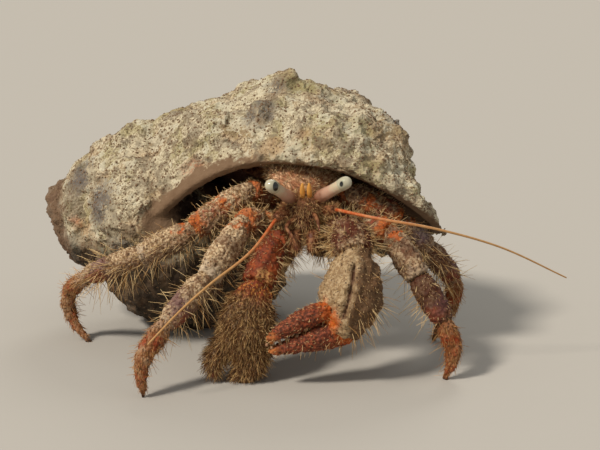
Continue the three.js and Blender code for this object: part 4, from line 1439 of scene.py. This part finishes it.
def whiskers(coat, piece, line, kind, tile):
    per_mm2, longest = HAIR[kind][2:]
    roots = roots_on(piece, per_mm2)
    edge = np.maximum(np.abs(roots["side"]) - 0.35, -roots["rise"] - 0.05)
    edge = np.clip(0.3 + 1.2 * edge, 0, 1)  # 1 at the sides and below, less on top
    keep = (chance.random(len(edge)) < edge) & (roots["run"] > 0.04)
    keep &= chance.random(len(edge)) > bare(kind, roots)
    roots, edge = some(roots, keep), edge[keep]
    count = len(roots["place"])
    ahead = heading(line, roots["run"])
    toward = roots["normal"] + ahead * 0.22 + chance.normal(size=(count, 3)) * 0.2
    length = longest * (0.5 + 0.5 * edge) * chance.uniform(0.55, 1.25, count)
    coat.add(roots, WHISKER, toward, length, WHISKER_THICK * chance.uniform(0.85, 1.15, count),
             ahead * WHISKER_BEND, finish_for(kind, bristle_finish), tile, pale=WHISKER_PALE)

# %% [markdown]
# One coat covers a whole leg or claw, so its hair is a single piece that stands for the same nodes as
# the armour under it. A coat for each length would work as well, with five times as many pieces.

# %% Hair on legs and claws
limb_kinds = {leg: {part: part for part in LEG_PARTS} for leg in LEGS} | CLAW_KINDS
for limb, kinds in limb_kinds.items():
    coat = Coat(limb + "_bristles")
    for tile, (part, kind) in enumerate(kinds.items()):
        name = f"{limb}_{part}"
        short_bristles(coat, made[name + "_armour"], lines[name], kind, tile)
        whiskers(coat, made[name + "_armour"], lines[name], kind, tile)
    nodes = dict.fromkeys(CLAW_NODES[part] if limb in CLAWS else part for part in kinds)
    coat.done([f"{limb}_{node}" for node in nodes], "feeler_gold")

# %% [markdown]
# Blunt pale teeth line the cutting edges of the large claw's fingers. One rounded tooth is modelled
# and copied along each edge, smaller toward the tip.

# %% Teeth
TOOTH_EDGES = {"movable_finger": way(-0.2, -0.25, -1), "fixed_finger": way(0.2, -0.25, 1)}
TEETH = 7
# radius along the finger, and how far its edge lies from its line
TOOTH_SIZE = ((0.3, 1.0), (0.75, 0.36))
EDGE_REACH = ((0.0, 0.4, 0.8, 1.0), (2.5, 2.15, 1.55, 0.7))
teeth = []
for part, side in TOOTH_EDGES.items():
    line = lines["claw_left_" + part]
    for share in np.linspace(0.34, 0.95, TEETH):
        size = float(np.interp(share, *TOOTH_SIZE)) * MM
        reach = float(np.interp(share, *EDGE_REACH)) * MM
        bpy.ops.object.select_all(action="DESELECT")
        bpy.ops.mesh.primitive_ico_sphere_add(
            subdivisions=2, radius=size, location=line.point(share) + side * reach)
        bpy.ops.transform.resize(value=(0.85, 0.8, 1.0))
        teeth.append(bpy.context.object)
only(teeth[0])
for tooth in teeth:
    tooth.select_set(True)
bpy.ops.object.join()
tooth_row = teeth[0]
tooth_row.name = "claw_left_teeth"
to_origin(tooth_row)
bpy.ops.object.shade_smooth()
tooth_finish = Finish("tooth")
tooth_row.data.materials.append(tooth_finish.done(
    tooth_finish.mix(tooth_finish.noise(0.8), (0.26, 0.12, 0.06), (0.42, 0.26, 0.15)), rough=0.4))
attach(tooth_row, "root")
print("teeth:", len(teeth))

# %% [markdown]
# ## The rest of the body's finishes
# The shield is reddish brown with pale spots, lightened all over with painted light against the shell's
# shadow, and the face below it darkens toward the mouth. Their bristles take the shield's colour at the
# root, like the legs' bristles.

# %% Finishes of shield and face
def lit_shield_colour(f):
    # Painted light: these tones are lighter than the plate's own, to offset the shadow of the shell's lip
    cloud = f.noise(2.0, 3.0)
    colour = f.mix(f.step(cloud, 0.40, 0.62), (0.42, 0.19, 0.095), (0.74, 0.46, 0.27))
    colour = f.mix((1 - f.step(f.cells(1.5), 0.16, 0.34)) * 0.6, colour, (0.66, 0.50, 0.34))
    return f.mix((1 - f.step(f.cells(0.9), 0.10, 0.24)) * 0.6, colour, PIT)


def shield_finish(_kind):
    f = Finish("shield_plate")
    return f.done(lit_shield_colour(f), rough=0.6, bump=f.noise(0.5, 3.0), depth=0.2)


def face_finish(_kind):
    f = Finish("face_front")
    dark = f.step(f.stored("run") + (f.noise(1.5, 3.0) - 0.5) * 0.5, 0.2, 0.6)
    brown = f.mix(f.noise(0.9, 2.0), (0.17, 0.065, 0.028), (0.36, 0.17, 0.075))
    colour = f.mix(dark, brown, (0.075, 0.024, 0.011))
    return f.done(colour, rough=0.65, bump=f.noise(0.5, 3.0), depth=0.2)


def shield_bristle(kind):
    f = Finish(kind + "_bristle")
    # Painted light: the shield's bristle tips are paler than the face's, against the shell's shadow
    tip = f.mix(f.step(f.stored("tone"), 0.3, 0.8), (0.46, 0.23, 0.085), (0.98, 0.78, 0.46))
    if kind == "face":
        tip = f.mix(f.step(f.stored("tone"), 0.3, 0.9), (0.26, 0.11, 0.040), (0.76, 0.50, 0.22))
    colour = f.mix(f.step(f.stored("tip"), 0.1, 0.6), f.mix(0.5, lit_shield_colour(f), BROWN_HAIR), tip)
    return f.done(colour, rough=0.4, gloss=0.3)

# %% [markdown]
# The belly is the only soft skin. It is pink, and a little light spreads under its surface.

# %% Finish of the belly
def belly_finish(_kind):
    f = Finish("belly_skin")
    colour = f.mix(f.noise(3.0, 2.0), (0.42, 0.17, 0.12), (0.62, 0.36, 0.28))
    return f.done(colour, rough=0.45, bump=f.noise(0.8, 2.0), depth=0.15, soft=0.15)

# %% [markdown]
# The stalks run from brown at the root to cream. Each cap is pale green and glossy, with a dark upright
# pupil where the eye faces. A pupil of its own mesh would show an edge, so it is painted: the pattern
# is centred on it, and its distance is stretched to make it narrow.

# %% Finishes of the eyes
def stalk_finish(_kind):
    f = Finish("eye_stalk")
    run = f.stored("run") + (f.noise(1.4, 2.0) - 0.5) * 0.3
    colour = f.mix(f.step(run, 0.0, 0.34), (0.20, 0.080, 0.042), (0.48, 0.28, 0.19))
    colour = f.mix(f.step(run, 0.34, 0.66), colour, (0.55, 0.46, 0.32))
    return f.done(colour, rough=0.35, bump=f.noise(0.5, 2.0), depth=0.04, coat=0.3, soft=0.15)


PUPIL_DARK = (0.010, 0.012, 0.011)
CAP_PALE = (0.50, 0.47, 0.345)
PUPILS = {"left": at(8.25, -7.55, 38.95), "right": at(-4.85, -8.9, 38.75)}
PUPIL_REACH = 1.05
PUPIL_SHAPE = (1.45, 0.8, 0.82)  # narrow and upright


def cap_finish(side):
    f = Finish("eye_cap_" + side)
    f.place = f.node("ShaderNodeMapping", None, {
        "Vector": f.place, "Location": tuple(-PUPILS[side])})
    gap = f.node("ShaderNodeVectorMath", dict(operation="MULTIPLY"), {0: f.place, 1: PUPIL_SHAPE})
    gap = f.node("ShaderNodeVectorMath", dict(operation="LENGTH"), {0: gap}, "Value")
    pupil = 1 - f.step(gap, 0.75 * PUPIL_REACH * MM, 0.95 * PUPIL_REACH * MM)
    rim = 1 - f.step(gap, 0.9 * PUPIL_REACH * MM, 2.2 * PUPIL_REACH * MM)
    colour = f.mix(f.noise(0.9, 2.0) * 0.4, CAP_PALE, (0.56, 0.52, 0.37))
    colour = f.mix(rim * 0.35, colour, (0.33, 0.33, 0.22))
    return f.done(f.mix(pupil, colour, PUPIL_DARK), rough=0.12, coat=1.0)

# %% [markdown]
# The scales beside the stalks are orange. The long feelers run from red to gold, and the small
# feelers, mouth limbs and inner legs are dark brown.

# %% Finishes of scales and feelers
def scale_finish(_kind):
    f = Finish("orange_scale")
    colour = f.mix(f.noise(0.9, 2.0), (0.66, 0.26, 0.045), (0.80, 0.44, 0.11))
    return f.done(colour, rough=0.4, bump=f.noise(0.4), depth=0.05, coat=0.2)


def feeler_finish(_kind):
    f = Finish("feeler")
    colour = f.mix(f.step(f.stored("run"), 0.0, 0.5), (0.46, 0.085, 0.020), (0.48, 0.26, 0.10))
    colour = f.mix(f.step(f.noise(0.8), 0.45, 0.6) * 0.3, colour, (0.62, 0.40, 0.18))
    return f.done(colour, rough=0.4, bump=f.noise(0.3), depth=0.03)


def limb_finish(_kind):
    f = Finish("small_limb")
    colour = f.mix(f.step(f.noise(1.0), 0.42, 0.6), (0.105, 0.033, 0.014), (0.26, 0.115, 0.050))
    return f.done(colour, rough=0.5, bump=f.noise(0.4), depth=0.08)

# %% [markdown]
# Each piece takes its shares first and then its finish. Last it is tied to the frame: what it rides
# and which nodes it stands for.

# %% The body in its colours
mark(shield, shield_line, BODY_UP, 2.7)
mark(face_front, face_line, way(0, -1, 0.3), 1.7)
dress(face_front, finish_for("face", face_finish))
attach(face_front, "root")
dress(shield, finish_for("shield", shield_finish))
sits_on(shield, ["body_shield"])
dress(belly, finish_for("belly", belly_finish))
sits_on(belly, ["body_rear_carapace", "body_belly_front", "body_belly_middle", "body_belly_rear",
                "body_tail_fan"])
for side in ("left", "right"):
    mark(made["eye_stalk_" + side], lines["eye_" + side], UPRIGHT, 1.5)
    dress(made["eye_stalk_" + side], finish_for("stalk", stalk_finish))
    sits_on(made["eye_stalk_" + side], ["eyestalk_" + side])
    dress(made["eye_cap_" + side], cap_finish(side))
    sits_on(made["eye_cap_" + side], ["cornea_" + side])
    dress(made["scale_" + side], finish_for("scale", scale_finish))
    sits_on(made["scale_" + side], ["acicle_" + side])
for name in FEELERS:
    piece = made[name + "_piece"]
    mark(piece, lines[name], UPRIGHT, 1.0)
    whip = name in ("antenna_left", "antenna_right")
    dress(piece, finish_for("feeler", feeler_finish) if whip else finish_for("limb", limb_finish))
    sits_on(piece, [name + "_near", name + "_far"] if whip else [name])

# %% [markdown]
# The face and shield are furred with short golden bristles that stand almost upright, and the bases
# of the feelers and the mouth limbs carry finer ones.

# %% Hair on the head
FACE_PARTS = ["antenna_left_base", "antenna_right_base", "mouth_limb_left", "mouth_limb_right"]
# piece, line, bristles on a square millimetre, lean along the line, wildness, lengths, bend, kind
furs = [(shield, shield_line, 8, -0.3, 0.35, (0.7, 2.0), 0, "shield"),
        (face_front, face_line, 12, 0.6, 0.35, (0.7, 2.0), 0, "face")]
furs += [(made[name + "_piece"], lines[name], 6, 0.7, 0.25, (0.6, 1.5), 0.2, "face")
         for name in FACE_PARTS]
face = Coat("face_bristles")
for tile, (piece, line, per_mm2, lean, wild, lengths, bend, kind) in enumerate(furs):
    spread = roots_on(piece, per_mm2)
    count = len(spread["place"])
    ahead = heading(line, spread["run"])
    toward = spread["normal"] + ahead * lean + chance.normal(size=(count, 3)) * wild
    face.add(spread, BRISTLE, toward, chance.uniform(*lengths, count), np.full(count, 0.06),
             ahead * bend, finish_for(kind, shield_bristle), tile)
face.done(["body_shield", *FACE_PARTS], "shield_mottled")

# %% [markdown]
# The chest keeps its own solid: it is a plain plate deep between the legs, cut to let each leg's root
# through. A finish in the body's colours is all it needs.

# %% Chest
chest = frame["nodes"]["chest"]
dress(chest, finish_for("limb", limb_finish))

# %% [markdown]
# ## The shell's finish
# The crust is sand-coloured with grey, olive, tan and rust patches, which are laid one by one at their
# places on the shell, as a model painter would.

# %% Colours and patches of the shell
CRUST = (0.30, 0.238, 0.150)
CRUST_PALE = (0.60, 0.53, 0.37)
CRUST_DARK = (0.105, 0.075, 0.044)
CRUST_GREY = (0.120, 0.105, 0.100)
CRUST_OLIVE = (0.29, 0.25, 0.10)
CRUST_TAN = (0.40, 0.25, 0.125)
CRUST_STAIN = (0.165, 0.125, 0.086)
CRUST_WHITE = (0.58, 0.55, 0.42)
WORN_BROWN = (0.060, 0.030, 0.018)
WORN_TIP = (-50.5, -48)  # to the right of the face, where the worn tip gives way to crust
WORN_TOP = (36, 42)  # and the heights where it does
UNDERSIDE = (17, 23)  # heights between which the underside, painted in deep shade, gives way to the crust above
LIP_BEIGE = (0.125, 0.070, 0.036)
LIP_PALE = (0.25, 0.165, 0.100)
THROAT_SHADE = (0.030, 0.017, 0.011)
THROAT = (-24.2, 15.4, 28.4)  # the old whorl's wall inside the mouth, painted in deep shade and without sand
THROAT_REACH = 7.5
RUST = (0.40, 0.10, 0.035)
GREY_PLACES = [((-43.1, 15.9, 30.1), 7), ((-8.1, 11.4, 50.4), 5), ((-50, 24, 36), 6), ((4, 6, 46), 4),
               ((-36, 14, 22), 6), ((-20, 46, 40), 8), ((-40, 40, 32), 6), ((12, 44, 36), 7),
               ((-4, 18, 55), 4), ((20, 14, 47), 5)]
RUST_PLACES = [((-23.2, 7.5, 39.1), 4), ((-50.5, 20, 25), 3)]
TAN_PLACES = [((-5.6, 3.0, 44.7), 4), ((2.0, 4.0, 46.0), 4), ((-47, 20, 22), 5)]
OLIVE_PLACES = [((15.0, -2.1, 41.0), 5), ((12, 6, 48), 4), ((22, 20, 44), 7), ((0, 20, 55), 7),
                ((-30, 34, 48), 7)]

# %% [markdown]
# The crust's colour is made of five noises: a fine one for the grit, three broad ones for olive, tan
# and stains, and a middling one for the dark gaps. The same noises break up the patches' edges.

# %% Colour of the crust
def shell_colour(f):
    grit = f.noise(0.42, 2.0)
    cloud = f.noise(7.0, 4.0)
    wander = f.noise(1.3, 3.0, shift=0.7)
    broad = f.noise(11.0, 2.0, shift=0.2)
    colour = f.mix(f.step(grit, 0.38, 0.60), CRUST, CRUST_PALE)
    colour = f.mix(f.step(cloud, 0.50, 0.62) * 0.5, colour, CRUST_OLIVE)
    colour = f.mix(f.step(broad, 0.50, 0.62) * 0.45, colour, CRUST_TAN)
    stain = f.noise(5.5, 4.0, shift=0.9)
    colour = f.mix(f.step(stain + (wander - 0.5) * 0.4, 0.53, 0.58) * 0.6, colour, CRUST_STAIN)
    colour = f.mix((1 - f.step(stain + (wander - 0.5) * 0.4, 0.40, 0.46)) * 0.6, colour, CRUST_WHITE)
    gaps = f.step(wander + (broad - 0.5) * 0.7, 0.50, 0.74)
    colour = f.mix(gaps * 0.42, colour, CRUST_DARK)
    colour = f.mix((1 - f.step(cloud, 0.38, 0.48)) * (1 - gaps) * 0.45, colour, CRUST_PALE)
    for places, tint, share in ((GREY_PLACES, CRUST_GREY, 0.85), (OLIVE_PLACES, CRUST_OLIVE, 0.6),
                                (TAN_PLACES, CRUST_TAN, 0.6), (RUST_PLACES, RUST, 0.55)):
        for place, reach in places:
            patchy = f.near(at(*place), reach, wander) * f.step(cloud + (grit - 0.5), 0.30, 0.5)
            colour = f.mix(patchy * share, colour, tint)
    return colour

# %% [markdown]
# Where the crust has gone or never grew, other colours cover it: the worn tip, the smooth lip and the
# hollow. Painted shade darkens the underside, the throat inside the mouth and the depth of the hollow.

# %% Tip, underside, lip and hollow
def lip_colour(f):
    return f.mix(f.noise(2.2), LIP_BEIGE, LIP_PALE)


def paint_throat_shade(f, colour):
    # Painted shade: deep in the mouth the wall and its grains turn near black
    return f.mix(f.near(at(*THROAT), THROAT_REACH, f.noise(1.3)), colour, THROAT_SHADE)


def shell_edges(f, colour):
    """The worn tip, the smooth lip, and painted shade on the underside, in the throat and deep in the
    hollow, over the crust's colour.
    """
    up = f.axis("Z")
    right = f.axis("X")
    wander = (f.noise(4.0, 4.0) - 0.5) * 14
    tip_share = 1 - f.step(right + wander * 0.4 + up * 0.12, *WORN_TIP)
    tip_share = tip_share * (1 - f.step(up, *WORN_TOP))
    worn = f.mix(f.noise(1.2, 3.0), WORN_BROWN, (0.20, 0.115, 0.068))
    # Painted shade: the underside turns near black below its heights, where the shell's shadow falls
    under = f.mix(f.step(f.noise(2.2, 4.0), 0.40, 0.66), (0.022, 0.013, 0.009), (0.090, 0.052, 0.030))
    colour = f.mix((1 - f.step(up + wander * 0.35, *UNDERSIDE)) * 0.92, colour, under)
    colour = f.mix(tip_share * 0.85, colour, worn)
    lip = f.stored("lip_share") + (f.noise(1.3, 4.0) - 0.5) * 1.3
    inner = f.stored("inner")
    smooth_lip = lip_colour(f)
    colour = paint_throat_shade(f, f.mix(1 - f.step(lip, 0.8, 1.1), colour, smooth_lip))
    # Painted shade: the lip's colour darkens to a plain brown deeper in the hollow
    hollow = f.mix(f.step(lip, 1.2, 3.0), smooth_lip, (0.12, 0.066, 0.040))
    return f.mix(f.step(inner, 0.35, 0.65), colour, hollow), inner


def shell_finish():
    f = Finish("shell_crust")
    colour, inner = shell_edges(f, shell_colour(f))
    bump = f.noise(0.45, 3.0) * (1 - inner * 0.8)
    return f.done(colour, rough=0.85, bump=bump, depth=0.2)


dress(shell, shell_finish())
print("nodes in the shell's material:", len(shell.data.materials[0].node_tree.nodes))
sits_on(shell, ["shell_spire", "shell_roof", "shell_base"])

# %% [markdown]
# Sand grains stick to the crust. They are tiny eight-sided stones, copied like the bristles and half
# sunk in the wall. They are beige like the lip, and stand out where the crust is paler or greyer.

# %% Sand grains
def grain_shape():
    bpy.ops.object.select_all(action="DESELECT")
    bpy.ops.mesh.primitive_cone_add(
        vertices=4, radius1=1, depth=1, location=(0, 0, 0.5), end_fill_type="NOTHING")
    piece = bpy.context.object
    to_origin(piece)
    bpy.ops.object.mode_set(mode="EDIT")
    bpy.ops.mesh.select_all(action="DESELECT")
    bpy.ops.mesh.select_non_manifold()
    bpy.ops.mesh.extrude_edges_move(TRANSFORM_OT_translate={"value": (0, 0, -1)})
    bpy.ops.mesh.merge(type="CENTER")
    face_outwards()
    return shape_of(piece)


def grain_finish(_kind):
    f = Finish("sand_grains")
    # The grains take the lip's colour, with the throat's painted shade
    return f.done(paint_throat_shade(f, lip_colour(f)), rough=0.8)


GRAINS_PER_MM2 = 2.15
SMALLEST_GRAIN = 0.13
GRAIN_SPREAD = 0.24  # added at most; squaring a random share keeps most grains small
DENSE, SPARSE = 0.95, 0.12  # share of the roots that hold a grain on the crust above the underside and elsewhere
BARE_THROAT = 6.5
grains = Coat("shell_sand_grains")
spread = roots_on(shell, GRAINS_PER_MM2)
tree = tree_of(vertex_places(shell))
nearest = np.array([tree.find(place)[1] for place in spread["place"]])
high = bench_places(shell)[nearest, 2] + chance.normal(size=len(nearest)) * 2 > UNDERSIDE[0]
keep = (outer_share[nearest] > 0.6) & (chance.random(len(nearest)) < np.where(high, DENSE, SPARSE))
keep |= (inner_share[nearest] < 0.3) & (chance.random(len(nearest)) < SPARSE)
keep &= np.linalg.norm(on_bench(spread["place"]) - np.array(THROAT), axis=1) > BARE_THROAT
spread = some(spread, keep)
# the grains' map is the shell unrolled: turns round the axis, and places along it
wind = on_bench(spread["place"]) - np.array(AXIS_POINT)
turned = np.arctan2(wind @ np.array(FORWARD), wind @ np.array(OVERHEAD)) / (2 * math.pi) + 0.5
spread["map"] = np.stack([turned, np.clip((wind @ np.array(AXIS) + 62) / 96, 0, 1)], 1)
count = len(spread["place"])
size = SMALLEST_GRAIN + GRAIN_SPREAD * chance.random(count) ** 2.0
grains.add(spread, grain_shape(), spread["normal"] + chance.normal(size=(count, 3)) * 0.5, size, size,
           np.zeros((count, 3)), finish_for("grain", grain_finish), 0)
grains.done(["shell_spire", "shell_roof", "shell_base"], "shell_sand")

# %% [markdown]
# ## Floor, light and camera
# A plain pale floor, far wider than the animal, so that its edge is never in view.

# %% Floor
bpy.ops.mesh.primitive_plane_add(size=6, location=(0, 0, 0))
floor = bpy.context.object
floor.name = "floor"
floor_finish = Finish("pale_floor")
floor.data.materials.append(floor_finish.done((0.46, 0.44, 0.40), rough=0.9, gloss=0.0))

# %% [markdown]
# Warm sunlight comes over the left shoulder of someone who looks at the crab, a weaker lamp
# behind lights the rims, and a soft sky fills the shade. Area lamps near the crab would do too, but
# their light falls off over its length, and the sun's doesn't.

# %% Lamps
def lamp(name, place, aim, spread, power, colour):
    """A far, soft lamp; spread is the angle in degrees that it fills in the sky."""
    data = bpy.data.lights.new(name, "SUN")
    data.angle = math.radians(spread)
    data.energy = power
    data.color = colour
    piece = bpy.data.objects.new(name, data)
    bpy.context.scene.collection.objects.link(piece)
    piece.location = place
    piece.rotation_euler = (Vector(aim) - Vector(place)).to_track_quat("-Z", "Y").to_euler()


MIDDLE = (0, 0, 0.025)
lamp("key_lamp", (-0.44, -0.36, 0.60), MIDDLE, 10, 3.1, (1.0, 0.92, 0.82))
lamp("back_lamp", (0.10, 0.60, 0.50), MIDDLE, 20, 0.7, (1.0, 0.96, 0.90))
world = bpy.data.worlds.new("soft_sky")
bpy.context.scene.world = world
world.use_nodes = True
world.node_tree.nodes["Background"].inputs["Color"].default_value = (0.95, 0.94, 0.92, 1)
world.node_tree.nodes["Background"].inputs["Strength"].default_value = 0.4
bpy.context.scene.view_settings.view_transform = "Standard"

# %% [markdown]
# The camera looks at the face from a little above, at the height of someone who lies on the ground. A
# long lens from farther away keeps the claws from looking too large.

# %% Camera
CAMERA_AIM = at(0, 0, 29)
CAMERA_DISTANCE = 320 * MM
CAMERA_RISE = math.radians(12)
LENS = 92.4
back = Vector((0, -math.cos(CAMERA_RISE), math.sin(CAMERA_RISE)))
camera_data = bpy.data.cameras.new("camera")
camera_data.lens = LENS
camera_data.clip_start = 0.01
camera = bpy.data.objects.new("camera", camera_data)
bpy.context.scene.collection.objects.link(camera)
camera.location = CAMERA_AIM + back * CAMERA_DISTANCE
camera.rotation_euler = (-back).to_track_quat("-Z", "Y").to_euler()
bpy.context.scene.camera = camera
print("camera at", [round(value, 3) for value in camera.location])

# %% [markdown]
# Last, the view layer is brought up to date.

# %% Update
bpy.context.view_layer.update()
